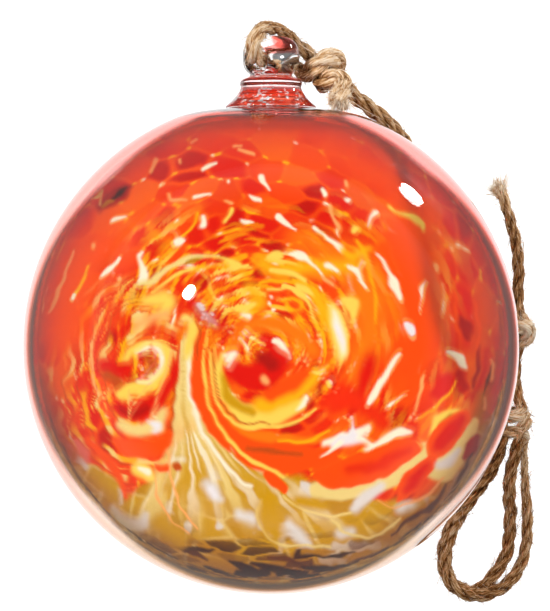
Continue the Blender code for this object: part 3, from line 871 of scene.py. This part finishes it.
def whole_sphere(count):
    """Both halves joined along their rim."""
    front, front_quads = half_sphere(count, 1.0)
    back, back_quads = half_sphere(count, -1.0)
    rows, columns = np.divmod(np.arange(count * count), count)
    rim = (rows == 0) | (rows == count - 1) | (columns == 0) | (columns == count - 1)
    new = np.cumsum(~rim) - 1 + len(front)
    place = np.where(rim, np.arange(count * count), new)
    return np.vstack([front, back[~rim]]), np.vstack([front_quads, place[back_quads]])


def outer_reach(directions):
    """How far the ball's outside is from its centre, with the dip under the hanger."""
    from_axis = BALL_RADIUS * np.hypot(directions[:, 0], directions[:, 2])
    spread = smooth_step(from_axis, NECK_DIP_FLAT_RADIUS, NECK_DIP_OUTER_RADIUS)
    return BALL_RADIUS - np.where(directions[:, 1] > 0.0, NECK_DIP * (1.0 - spread), 0.0)


def attribute_glass(name, roughness=0.0, wave=None, clearness=1.0):
    """Glass whose tint is stored at its vertices; wave is its ripples' height and their scale."""
    finish, tree, shader = finish_nodes(name)
    tint = add_node(tree, "ShaderNodeAttribute", attribute_name="tint")
    tree.links.new(tint.outputs["Color"], shader.inputs["Base Color"])
    if wave:
        place = add_node(tree, "ShaderNodeTexCoord")
        ripple = add_node(tree, "ShaderNodeTexNoise", {
            "Vector": place.outputs["Object"], "Scale": wave[1], "Detail": 1.0,
        })
        bump = add_node(tree, "ShaderNodeBump", {
            "Height": ripple.outputs["Fac"], "Strength": 1.0, "Distance": wave[0],
        })
        tree.links.new(bump.outputs["Normal"], shader.inputs["Normal"])
    shader.inputs["Roughness"].default_value = roughness
    shader.inputs["IOR"].default_value = GLASS_IOR
    shader.inputs["Transmission Weight"].default_value = clearness
    return finish


def keep_tint(obj, tint):
    keep_numbers(obj, "tint", np.column_stack([tint, np.ones(len(tint))]), "FLOAT_COLOR")


def towards_camera():
    way = np.array(CAMERA_PLACE) - ball_centre()
    return way / np.linalg.norm(way)


def casing_tint(directions):
    """Clear glass, tinted where the sight line runs long through the wall."""
    table = np.array(EDGE_TINTS)
    around = np.degrees(np.arctan2(directions[:, 1], directions[:, 0])) % 360.0
    edge = np.column_stack([np.interp(around, table[:, 0], table[:, k]) for k in range(1, 5)])
    facing = np.abs(directions @ towards_camera())
    inner = smooth_step(facing, 0.18, edge[:, 3])[:, None]
    return edge[:, :3] * (1.0 - inner) + np.array(CASING_TINT) * inner


def ball_casing():
    directions, quads = whole_sphere(CASING_GRID)
    points = directions * outer_reach(directions)[:, None] + ball_centre()
    points[:, 2] = np.maximum(points[:, 2], 0.0)
    casing = piece("ball_casing", points, quads, attribute_glass("casing_glass", wave=CASING_WAVE))
    keep_tint(casing, casing_tint(directions))
    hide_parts("glass_ball")


def near_angle(miss, reach):
    """Where a sight line that misses the middle by so much first meets the frit, from the axis."""
    distance = np.linalg.norm(np.array(CAMERA_PLACE) - ball_centre())
    return (
        np.arcsin(np.minimum(miss / BALL_RADIUS, 1.0)) - np.arcsin(miss / distance)
        - np.arcsin(miss / (GLASS_IOR * BALL_RADIUS)) + np.arcsin(miss / (GLASS_IOR * reach))
    )


def seen_place(points):
    """Where the photograph shows points of the frit, where their light leaves, and the far ones."""
    reach = np.linalg.norm(points, axis=1)
    axis = towards_camera()
    angle = np.arccos(np.clip(points @ axis / reach, -1.0, 1.0))
    far = angle > near_angle(reach, reach)
    low, high = np.zeros(len(points)), reach.copy()
    for _ in range(30):
        miss = 0.5 * (low + high)
        first = near_angle(miss, reach)
        last = first + math.pi - 2.0 * np.arcsin(np.minimum(miss / reach, 1.0))
        outward = np.where(far, last > angle, first < angle)
        low = np.where(outward, miss, low)
        high = np.where(outward, high, miss)
    share = 0.5 * (low + high) / BALL_RADIUS
    around = np.arctan2(points[:, 1], points[:, 0])
    flat = np.column_stack([np.cos(around), np.sin(around), np.zeros(len(points))])
    entry = flat * share[:, None] + axis * np.sqrt(1.0 - share**2)[:, None]
    # the band that the photograph shows edge on goes on past the ball's edge in it
    start = near_angle(RIM_SHARE * BALL_RADIUS, reach)
    end = start + math.pi - 2.0 * np.arcsin(RIM_SHARE * BALL_RADIUS / reach)
    beyond = np.maximum(np.minimum(angle - start, end - angle), 0.0)
    out = np.minimum(share, RIM_SHARE) + beyond
    place = np.array(BALL_MIDDLE) + BALL_REACH * out[:, None] * flat[:, :2] * (1.0, -1.0)
    return place[:, 0], place[:, 1], entry, far


def frit_tint(points):
    """The tint with which near and far frit together let through the pattern's light."""
    x, y, entry, far = seen_place(points)
    tint = np.clip(frit_light(x, y) / casing_tint(entry), 0.0, 1.0)
    return tint ** np.where(far, FAR_SHARE, 2.0 - FAR_SHARE)[:, None]


def frit_layer(name, side, roughness):
    """The inside of the casing, where the coloured frit lies. Its faces look to the hollow."""
    directions, quads = half_sphere(FRIT_GRID, side)
    reach = outer_reach(directions) - WALL
    points = directions * reach[:, None]
    finish = attribute_glass(name + "_glass", roughness)
    layer = piece(name, points + ball_centre(), quads[:, ::-1], finish)
    keep_tint(layer, frit_tint(points))


def linear(colour):
    """A screen colour of 0 to 255 as light."""
    value = np.asarray(colour, dtype=float) / 255.0
    return np.where(value <= 0.04045, value / 12.92, ((value + 0.055) / 1.055) ** 2.4)


def drift(x, y, scale, seed):
    """Smooth random numbers from 0 to 1 over the plane."""
    table = np.random.default_rng(seed).random(DRIFT_TABLE)
    u, v = x / scale + 50.0, y / scale + 50.0
    column, row = np.floor(u).astype(int), np.floor(v).astype(int)
    a, b = u - column, v - row
    a, b = a * a * (3.0 - 2.0 * a), b * b * (3.0 - 2.0 * b)

    def corner(i, j):
        return table[(row + j) % DRIFT_TABLE[0], (column + i) % DRIFT_TABLE[1]]

    low = corner(0, 0) * (1.0 - a) + corner(1, 0) * a
    high = corner(0, 1) * (1.0 - a) + corner(1, 1) * a
    return low * (1.0 - b) + high * b


def grains(far, turn, least, growth, length, seed):
    """Cells in rings round a middle: how much further the next two cells are, and own numbers.

    A ring is least + growth * radius high and its cells are length times longer than high.
    """
    random = np.random.default_rng(seed).random((*GRAIN_TABLE, 4))
    ring = np.floor(np.log(1.0 + growth * far / least) / growth).astype(int)
    best = [np.full(far.shape, 9.0) for _ in range(3)]
    own = [np.zeros(far.shape) for _ in range(2)]
    for i in (-1, 0, 1):
        at = np.maximum(ring + i, 0)
        radius = (np.exp(growth * (at + 0.5)) - 1.0) * least / growth
        high = least + growth * radius
        count = np.maximum(np.round(math.tau * radius / (length * high)), 3.0)
        place = (turn / math.tau) % 1.0 * count
        for j in (-1, 0, 1):
            column = (np.floor(place) + j) % count
            pick = random[at % GRAIN_TABLE[0], column.astype(int) % GRAIN_TABLE[1]]
            across = (place - column - 0.1 - 0.8 * pick[..., 0] + count / 2.0) % count - count / 2.0
            up = (far - radius) / high - 0.7 * (pick[..., 1] - 0.5)
            apart = np.hypot(across, up)
            apart = np.where(ring + i < 0, 9.0, apart)
            closer = apart < best[0]
            own[0] = np.where(closer, pick[..., 2], own[0])
            own[1] = np.where(closer, pick[..., 3], own[1])
            third = np.minimum(best[2], np.maximum(best[1], apart))
            second = np.where(closer, best[0], np.minimum(best[1], apart))
            best = [np.minimum(best[0], apart), second, third]
    return best[1] - best[0], best[2] - best[0], own[0], own[1]


def add_stroke(light, x, y, colour, soft, numbers):
    line = curve_through(np.array(numbers, dtype=float).reshape(-1, 3), 6)
    margin = line[:, 2].max() + soft
    near = np.flatnonzero(
        (x > line[:, 0].min() - margin) & (x < line[:, 0].max() + margin)
        & (y > line[:, 1].min() - margin) & (y < line[:, 1].max() + margin)
    )
    a, b = x[near], y[near]
    inside = np.full(a.shape, -1e3)
    for start, end in zip(line, line[1:]):
        step = end[:2] - start[:2]
        share = ((a - start[0]) * step[0] + (b - start[1]) * step[1]) / max(step @ step, 1e-9)
        share = np.clip(share, 0.0, 1.0)
        apart = np.hypot(a - start[0] - share * step[0], b - start[1] - share * step[1])
        inside = np.maximum(inside, start[2] + (end[2] - start[2]) * share - apart)
    cover = smooth_step(inside, -soft, soft)[:, None]
    light[near] += (linear(COLOURS[colour]) - light[near]) * cover


def blend(light, colour, cover):
    return light + (linear(COLOURS[colour]) - light) * np.clip(cover, 0.0, 1.0)[:, None]


def near(x, y, middle, reach, soft):
    """1 inside an ellipse and 0 well outside it."""
    apart = np.hypot((x - middle[0]) / reach[0], (y - middle[1]) / reach[1])
    return 1.0 - smooth_step(apart, 1.0 - soft, 1.0 + soft)


def red_frit(x, y):
    """Red and orange grains pressed round the swirl, with yellow and cream where they meet."""
    out_x, out_y = x - SWIRL_MIDDLE[0], y - SWIRL_MIDDLE[1]
    far = np.hypot(out_x, out_y)
    turn = np.arctan2(out_y, out_x) + 0.35 * np.log((far + 20.0) / 100.0)
    gap, corner, shade, hue = grains(far, turn, 8.5, 0.052, 1.8, 11)
    wavy_far = far + 3.0 * drift(x, y, 40.0, 25)
    arc_gap, _, arc_shade, arc_hue = grains(wavy_far, turn, 2.6, 0.022, 7.0, 12)
    slow = drift(x, y, 58.0, 5)
    lively = drift(x, y, 21.0, 6)
    open_part = np.max([strength * near(x, y, *place) for *place, strength in OPEN_PARTS], axis=0)
    light = np.repeat(linear(COLOURS["scarlet"])[None, :], len(x), axis=0)
    light = blend(light, "orange", 0.8 * smooth_step(slow + 0.5 * (hue - 0.5), 0.3, 0.8))
    light = blend(light, "red", 0.9 * smooth_step(shade, 0.45, 0.75) * smooth_step(gap, 0.04, 0.40))
    deep = smooth_step(shade, 0.80, 0.90) * smooth_step(gap, 0.08, 0.45)
    light = blend(light, "dark_red", 0.6 * deep)
    light = blend(light, "bright", 0.4 * (1.0 - smooth_step(shade, 0.12, 0.30)))
    seam = 1.0 - smooth_step(gap, 0.0, 0.20)
    light = blend(light, "bright", seam * (0.15 + 0.55 * lively) * (0.5 + open_part))
    arcs = smooth_step(arc_shade + 0.5 * (lively - 0.5), 0.55, 0.75) * smooth_step(arc_gap, 0.0, 0.25)
    light = blend(light, "glow", open_part * arcs)
    light = blend(light, "yellow", open_part * smooth_step(arc_hue + 0.4 * (lively - 0.5), 0.80, 0.92))
    mild = smooth_step(arc_hue, 0.0, 0.3) * smooth_step(0.35 - arc_hue, 0.0, 0.2)
    light = blend(light, "red", 0.5 * open_part * mild)
    knot = 1.0 - smooth_step(corner, 0.05, 0.17 + 0.12 * open_part)
    light = blend(light, "glow", knot * smooth_step(lively, 0.35, 0.6))
    return blend(light, "cream", knot * smooth_step(drift(x, y, 13.0, 14) + 0.2 * open_part, 0.68, 0.9))


def small_swirl(x, y, light):
    """Thin bands of cream, amber and brown wound about the small swirl at the left."""
    out_x, out_y = x - SMALL_SWIRL_MIDDLE[0], y - SMALL_SWIRL_MIDDLE[1]
    out_x = out_x * 1.25
    far = np.hypot(out_x, out_y)
    turn = np.arctan2(out_y, out_x)
    rings = far / 17.0 - turn / math.tau + 1.2 * (drift(x, y, 24.0, 15) - 0.5)
    rings += 0.35 * drift(x, y, 9.0, 16)
    wave = rings - np.floor(rings)
    cover = near(x, y, *SMALL_SWIRL_BANDS) * smooth_step(SMALL_SWIRL_RIGHT - x, -2.0, 8.0)
    band = smooth_step(wave, 0.02, 0.12) * (1.0 - smooth_step(wave, 0.34, 0.46))
    band = band * smooth_step(drift(x, y, 19.0, 17), 0.25, 0.6)
    light = blend(light, "glow", 0.85 * cover * band)
    light = blend(light, "straw", 0.9 * cover * band * smooth_step(drift(x, y, 12.0, 18), 0.42, 0.7))
    edge = smooth_step(wave, 0.40, 0.46) * (1.0 - smooth_step(wave, 0.48, 0.56))
    light = blend(light, "rust", 0.55 * cover * edge)
    thin = smooth_step(wave, 0.66, 0.70) * (1.0 - smooth_step(wave, 0.71, 0.76))
    return blend(light, "yellow", 0.7 * cover * thin * smooth_step(drift(x, y, 15.0, 19), 0.4, 0.7))


def tail(x, y, light):
    """The pale tail of the swirl, combed out downward."""
    table = np.array(TAIL_EDGES)
    left = np.interp(y, table[:, 0], table[:, 1])
    right = np.interp(y, table[:, 0], table[:, 2])
    share = (x - left) / (right - left)
    cover = smooth_step(share, -0.03, 0.06) * (1.0 - smooth_step(share, 0.95, 1.03))
    cover = cover * smooth_step(y, *TAIL_TOP) * (1.0 - smooth_step(y, *TAIL_END))
    low = smooth_step(y, *TAIL_MIX)
    wide = drift(share * 60.0, y * 0.10, 9.0, 41)
    fine = drift(share * 110.0 + 40.0, y * 0.12, 9.0, 42)
    hair = drift(share * 260.0 + 80.0, y * 0.14, 9.0, 43) * smooth_step(right - left, 24.0, 60.0)
    light = blend(light, "straw", cover * (1.0 - 0.75 * low))
    broad = smooth_step(wide + 0.25 * low, 0.52, 0.80)
    light = blend(light, "amber", cover * broad * (0.55 + 0.35 * low))
    light = blend(light, "rust", cover * 0.35 * smooth_step(fine, 0.70, 0.86) * (1.0 - low))
    light = blend(light, "straw", cover * smooth_step(fine, 0.62, 0.85) * 0.85)
    return blend(light, "cream", cover * smooth_step(hair, 0.66, 0.90) * (0.9 - 0.3 * low))


def amber_frit(x, y):
    """Amber grains drawn down from the swirl's tail, with milk between them."""
    out_x, out_y = x - TAIL_ROOT[0], y - TAIL_ROOT[1]
    far = np.hypot(out_x, out_y)
    turn = np.arctan2(out_x, out_y)
    bend = turn + 0.5 * smooth_step(far, 60.0, 260.0) * turn
    line = drift(bend * 170.0, far * 0.10 + 20.0, 6.0, 20)
    rows = np.hypot(x - AMBER_MIDDLE[0], y - AMBER_MIDDLE[1])
    around = np.arctan2(y - AMBER_MIDDLE[1], x - AMBER_MIDDLE[0])
    gap, _, shade, _ = grains(rows, around, 2.0, 0.050, 2.0, 13)
    dash_gap, _, dash_shade, _ = grains(rows, around, 1.5, 0.020, 4.2, 26)
    deep = smooth_step(y + 0.12 * np.abs(x - AMBER_MIDDLE[0]), *AMBER_DEEP)
    light = np.repeat(linear(COLOURS["amber"])[None, :], len(x), axis=0)
    light = blend(light, "ochre", 0.6 * smooth_step(shade, 0.4, 0.8) + 0.25 * deep)
    seam = 1.0 - smooth_step(gap, 0.0, 0.24)
    light = blend(light, "straw", 0.5 * seam * smooth_step(drift(x, y, 24.0, 21), 0.35, 0.65))
    light = blend(light, "straw", 0.6 * smooth_step(line, 0.66, 0.84) * (1.0 - 0.7 * deep))
    milk = smooth_step(drift(x, y, 17.0, 22) + 0.35 * (drift(x, y, 7.0, 23) - 0.5), 0.74, 0.90)
    light = blend(light, "milk", milk * (0.9 - 0.4 * deep))
    brown = smooth_step(dash_shade, 0.48, 0.60) * smooth_step(dash_gap, 0.04, 0.26) * deep
    light = blend(light, "brown", 0.9 * brown)
    darkest = smooth_step(dash_shade, 0.74, 0.80) * smooth_step(dash_gap, 0.08, 0.30) * deep
    return blend(light, "umber", darkest)


def frit_light(x, y):
    """The light that comes through the ball at places of the photograph."""
    wavy_x = x + 3.0 * (drift(x, y, 9.0, 1) - 0.5) + 6.0 * (drift(x, y, 34.0, 2) - 0.5)
    wavy_y = y + 3.0 * (drift(x, y, 9.0, 3) - 0.5) + 6.0 * (drift(x, y, 34.0, 4) - 0.5)
    light = small_swirl(wavy_x, wavy_y, red_frit(wavy_x, wavy_y))
    tide = np.interp(wavy_x, [point[0] for point in TIDE], [point[1] for point in TIDE])
    below = smooth_step(wavy_y - tide + 16.0 * (drift(x, y, 12.0, 24) - 0.5), -6.0, 6.0)[:, None]
    light = light * (1.0 - below) + amber_frit(wavy_x, wavy_y) * below
    light = tail(wavy_x, wavy_y, light)
    for row in STROKES.strip().splitlines():
        if not row.startswith("#"):
            colour, soft, *numbers = row.split()
            add_stroke(light, wavy_x, wavy_y, colour, float(soft), numbers)
    return np.clip(light, 0.0, 1.0)


def collar_profile():
    """The underside follows the ball, then the rim and the concave flare go up."""
    ball_top = BALL_RADIUS - NECK_DIP
    under = []
    for index in range(13):
        radius = COLLAR_RADIUS * index / 12
        height = math.sqrt(ball_top**2 - radius**2)
        under.append((radius, height + GAP))
    rim_radius, rim_height = under[-1]
    rim_top = rim_height + COLLAR_RIM_THICKNESS
    waist_height = ball_top + WAIST_ABOVE_BALL
    flare = []
    for index in range(25):
        share = index / 24
        radius = WAIST_RADIUS + (rim_radius - WAIST_RADIUS) * (1.0 - share) ** COLLAR_CURVE
        flare.append((radius, rim_top + (waist_height - rim_top) * share))
    return under + flare


def ring_profile(bottom):
    points = []
    for index in range(1, 11):
        share = index / 10
        base = WAIST_RADIUS + (NOTCH_RADIUS - WAIST_RADIUS) * share**3
        bulge = RING_BULGE * math.sin(math.pi * share)
        points.append((base + bulge, bottom + RING_HEIGHT * share))
    return points


def bulb_profile(bottom):
    half = BULB_HEIGHT / 2.0
    mean_radius = (BULB_DEPTH + BULB_BREADTH) / 4.0
    points = []
    for index in range(1, 41):
        turn = (-0.62 + 1.62 * index / 40) * math.pi / 2.0
        rise = math.copysign(abs(math.sin(turn)) ** (2.0 / BULB_SQUARENESS), math.sin(turn))
        out = max(math.cos(turn), 0.0) ** (2.0 / BULB_SQUARENESS)
        points.append((mean_radius * out, bottom + half + half * rise))
    points[-1] = (0.0, points[-1][1])
    return points


def turned(name, profile, segments):
    """A closed surface turned about +Y from a profile of (radius, height)."""
    bm = bmesh.new()
    points = [bm.verts.new((radius, height, 0.0)) for radius, height in profile]
    edges = [bm.edges.new(pair) for pair in zip(points, points[1:])]
    bmesh.ops.spin(
        bm, geom=points + edges, cent=(0.0, 0.0, 0.0), axis=(0.0, 1.0, 0.0),
        angle=math.tau, steps=segments, use_merge=True, use_duplicate=False,
    )
    bmesh.ops.remove_doubles(bm, verts=bm.verts, dist=0.001 * MM)
    bmesh.ops.recalc_face_normals(bm, faces=bm.faces)
    mesh = bpy.data.meshes.new(name)
    bm.to_mesh(mesh)
    bm.free()
    obj = bpy.data.objects.new(name, mesh)
    bpy.context.scene.collection.objects.link(obj)
    return obj


def evaluated(obj):
    """The points and faces of an object with its modifiers applied; the object itself goes."""
    graph = bpy.context.evaluated_depsgraph_get()
    shape = obj.evaluated_get(graph).to_mesh()
    points = [tuple(obj.matrix_world @ vertex.co) for vertex in shape.vertices]
    faces = [tuple(face.vertices) for face in shape.polygons]
    obj.evaluated_get(graph).to_mesh_clear()
    bpy.data.objects.remove(obj, do_unlink=True)
    return points, faces


def hanger_shape():
    """The turned hanger, pinched and pierced, then melted soft."""
    notch = BALL_RADIUS - NECK_DIP + WAIST_ABOVE_BALL + RING_HEIGHT
    profile = collar_profile() + ring_profile(notch - RING_HEIGHT) + bulb_profile(notch)
    hanger = turned("hanger_blank", profile, 96)
    along = Vector((-math.cos(HOLE_TURN), 0.0, math.sin(HOLE_TURN)))
    across = Vector((math.sin(HOLE_TURN), 0.0, math.cos(HOLE_TURN)))
    mean = (BULB_DEPTH + BULB_BREADTH) / 2.0
    for vertex in hanger.data.vertices:
        share = float(smooth_step(vertex.co.y, notch, notch + BULB_HEIGHT / 3.0))
        depth, breadth = vertex.co.dot(along), vertex.co.dot(across)
        vertex.co += along * depth * share * (BULB_DEPTH / mean - 1.0)
        vertex.co += across * breadth * share * (BULB_BREADTH / mean - 1.0)
    hanger.location = ball_centre()
    half = BULB_DEPTH / 2.0
    bar_profile = [(0.0, -1.5 * half)]
    for index in range(-12, 13):
        place = 1.5 * half * index / 12
        bar_profile.append((HOLE_RADIUS + HOLE_FLARE * (place / half) ** 2, place))
    bar = turned("hole_bar", bar_profile + [(0.0, 1.5 * half)], 48)
    place = Vector(ball_centre()) + Vector((0.0, notch + HOLE_ABOVE_NOTCH, 0.0))
    turn_round = Matrix.Rotation(HOLE_TURN, 4, "Y") @ Matrix.Rotation(math.pi / 2.0, 4, "Z")
    bar.matrix_world = Matrix.Translation(place) @ turn_round
    cut = hanger.modifiers.new("Hole", "BOOLEAN")
    cut.operation = "DIFFERENCE"
    cut.solver = "EXACT"
    cut.object = bar
    melt = hanger.modifiers.new("Melt", "REMESH")
    melt.mode = "VOXEL"
    melt.voxel_size = HANGER_VOXEL
    smooth = hanger.modifiers.new("Smooth", "SMOOTH")
    smooth.factor = 0.5
    smooth.iterations = HANGER_SMOOTHING
    shape = evaluated(hanger)
    bpy.data.objects.remove(bar, do_unlink=True)
    return shape


def hanger_tint(points):
    """Clear glass, reddened by frit in the collar and a little at the notch, and with a painted red
    patch at the bulb's crown for the ball's red seen through it.
    """
    height = points[:, 1] - (BALL_RADIUS - NECK_DIP)
    around = np.degrees(np.arctan2(points[:, 2] - ball_centre()[2], points[:, 0]))
    speckle = drift(around * 1.3 + 400.0, height / MM * 12.0, 5.5, 31)
    broad = drift(around + 400.0, height / MM * 6.0, 15.0, 32)
    collar = 1.0 - smooth_step(height, 3.6 * MM, 6.0 * MM)
    red = collar * smooth_step(0.5 * broad + speckle, 0.40, 0.62)
    notch = smooth_step(height, 6.5 * MM, 7.6 * MM)
    notch *= 1.0 - smooth_step(height, 9.0 * MM, 10.5 * MM)
    red = np.maximum(red, notch * smooth_step(broad, 0.55, 0.75))
    # painted refraction: the ball's red seen through the crown is painted in as a red patch
    from_crown = np.hypot(points[:, 0] - CROWN_PAINTED_RED[0], points[:, 1] - CROWN_PAINTED_RED[1])
    red = np.maximum(red, 0.9 * (1.0 - smooth_step(from_crown, 2.6 * MM, 3.8 * MM)))
    return np.array(HANGER_CLEAR) + (np.array(HANGER_RED) - np.array(HANGER_CLEAR)) * red[:, None]


def hanger():
    points, faces = hanger_shape()
    knob = piece("hanger_glass", points, faces, attribute_glass("hanger_glass", wave=HANGER_WAVE))
    keep_tint(knob, hanger_tint(np.array(points)))
    knob.data.materials.append(attribute_glass("collar_glass", 0.0, HANGER_WAVE, COLLAR_CLEARNESS))
    collar_top = BALL_RADIUS - NECK_DIP + WAIST_ABOVE_BALL
    for face in knob.data.polygons:
        face.material_index = int(face.center.y < collar_top)
    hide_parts("hanging_knob")


# Stage

def floor():
    """A pale floor, brightest on the white card under the ball."""
    finish, tree, shader = finish_nodes("pale_floor")
    grain = add_node(tree, "ShaderNodeTexNoise", {"Scale": 3.0})
    ramp = add_node(tree, "ShaderNodeValToRGB", {"Fac": grain.outputs["Fac"]})
    colour_stops(ramp, FLOOR_STOPS)
    tree.links.new(ramp.outputs["Color"], shader.inputs["Base Color"])
    place = add_node(tree, "ShaderNodeTexCoord")
    # how far the floor is outside the card, less its round corners
    away = place.outputs["Object"]
    for step, numbers in (
        ("MULTIPLY", (1.0, 1.0, 0.0)), ("SUBTRACT", (*CARD_MIDDLE, 0.0)), ("ABSOLUTE", (0.0, 0.0, 0.0)),
        ("SUBTRACT", (CARD_HALF[0] - CARD_CORNER, CARD_HALF[1] - CARD_CORNER, 0.0)),
        ("MAXIMUM", (0.0, 0.0, 0.0)),
    ):
        away = add_node(tree, "ShaderNodeVectorMath", {0: away, 1: numbers}, operation=step).outputs[0]
    far = add_node(tree, "ShaderNodeVectorMath", {0: away}, operation="LENGTH")
    shine = add_node(tree, "ShaderNodeMapRange", {
        "Value": far.outputs["Value"], "From Min": CARD_CORNER, "From Max": CARD_CORNER + CARD_FADE,
        "To Min": CARD_LIGHT, "To Max": TABLE_LIGHT,
    }, interpolation_type="SMOOTHSTEP")
    tree.links.new(shine.outputs["Result"], shader.inputs["Emission Strength"])
    shader.inputs["Roughness"].default_value = 1.0
    shader.inputs["Specular IOR Level"].default_value = 0.0
    shader.inputs["Emission Color"].default_value = (1.0, 1.0, 1.0, 1.0)
    half = FLOOR_SIZE / 2.0
    mesh = bpy.data.meshes.new("floor")
    corners = [(-half, -half), (half, -half), (half, half), (-half, half)]
    mesh.from_pydata([(*corner, -FLOOR_BELOW) for corner in corners], [], [(0, 1, 2, 3)])
    mesh.materials.append(finish)
    obj = bpy.data.objects.new("floor", mesh)
    bpy.context.scene.collection.objects.link(obj)


def soft_light(name, place, aim, size, power, mirrored):
    data = bpy.data.lights.new(name, "AREA")
    data.shape = "ELLIPSE"
    data.size, data.size_y = size
    data.energy = power
    lamp = bpy.data.objects.new(name, data)
    lamp.visible_glossy = mirrored
    lamp.visible_transmission = mirrored
    lamp.location = place
    towards = Vector(aim) - Vector(place)
    lamp.rotation_euler = towards.to_track_quat("-Z", "Y").to_euler()
    bpy.context.scene.collection.objects.link(lamp)


def sky():
    world = bpy.data.worlds.new("studio")
    bpy.context.scene.world = world
    world.use_nodes = True
    tree = world.node_tree
    back = tree.nodes["Background"]
    place = add_node(tree, "ShaderNodeTexCoord")
    split = add_node(tree, "ShaderNodeSeparateXYZ", {"Vector": place.outputs["Generated"]})
    ramp = add_node(tree, "ShaderNodeValToRGB", {"Fac": split.outputs["Z"]})
    colour_stops(ramp, SKY_STOPS)
    tree.links.new(ramp.outputs["Color"], back.inputs["Color"])
    back.inputs["Strength"].default_value = 1.0


def scene_settings():
    scene = bpy.context.scene
    scene.view_settings.view_transform = "Standard"
    scene.cycles.max_bounces = 28
    scene.cycles.transmission_bounces = 28
    scene.cycles.transparent_max_bounces = 16


def main():
    photo_camera()
    cord()
    ball_casing()
    frit_layer("frit_front", 1.0, FRONT_ROUGHNESS)
    frit_layer("frit_back", -1.0, BACK_ROUGHNESS)
    hanger()
    floor()
    sky()
    for lamp in LAMPS:
        soft_light(*lamp)
    scene_settings()


main()
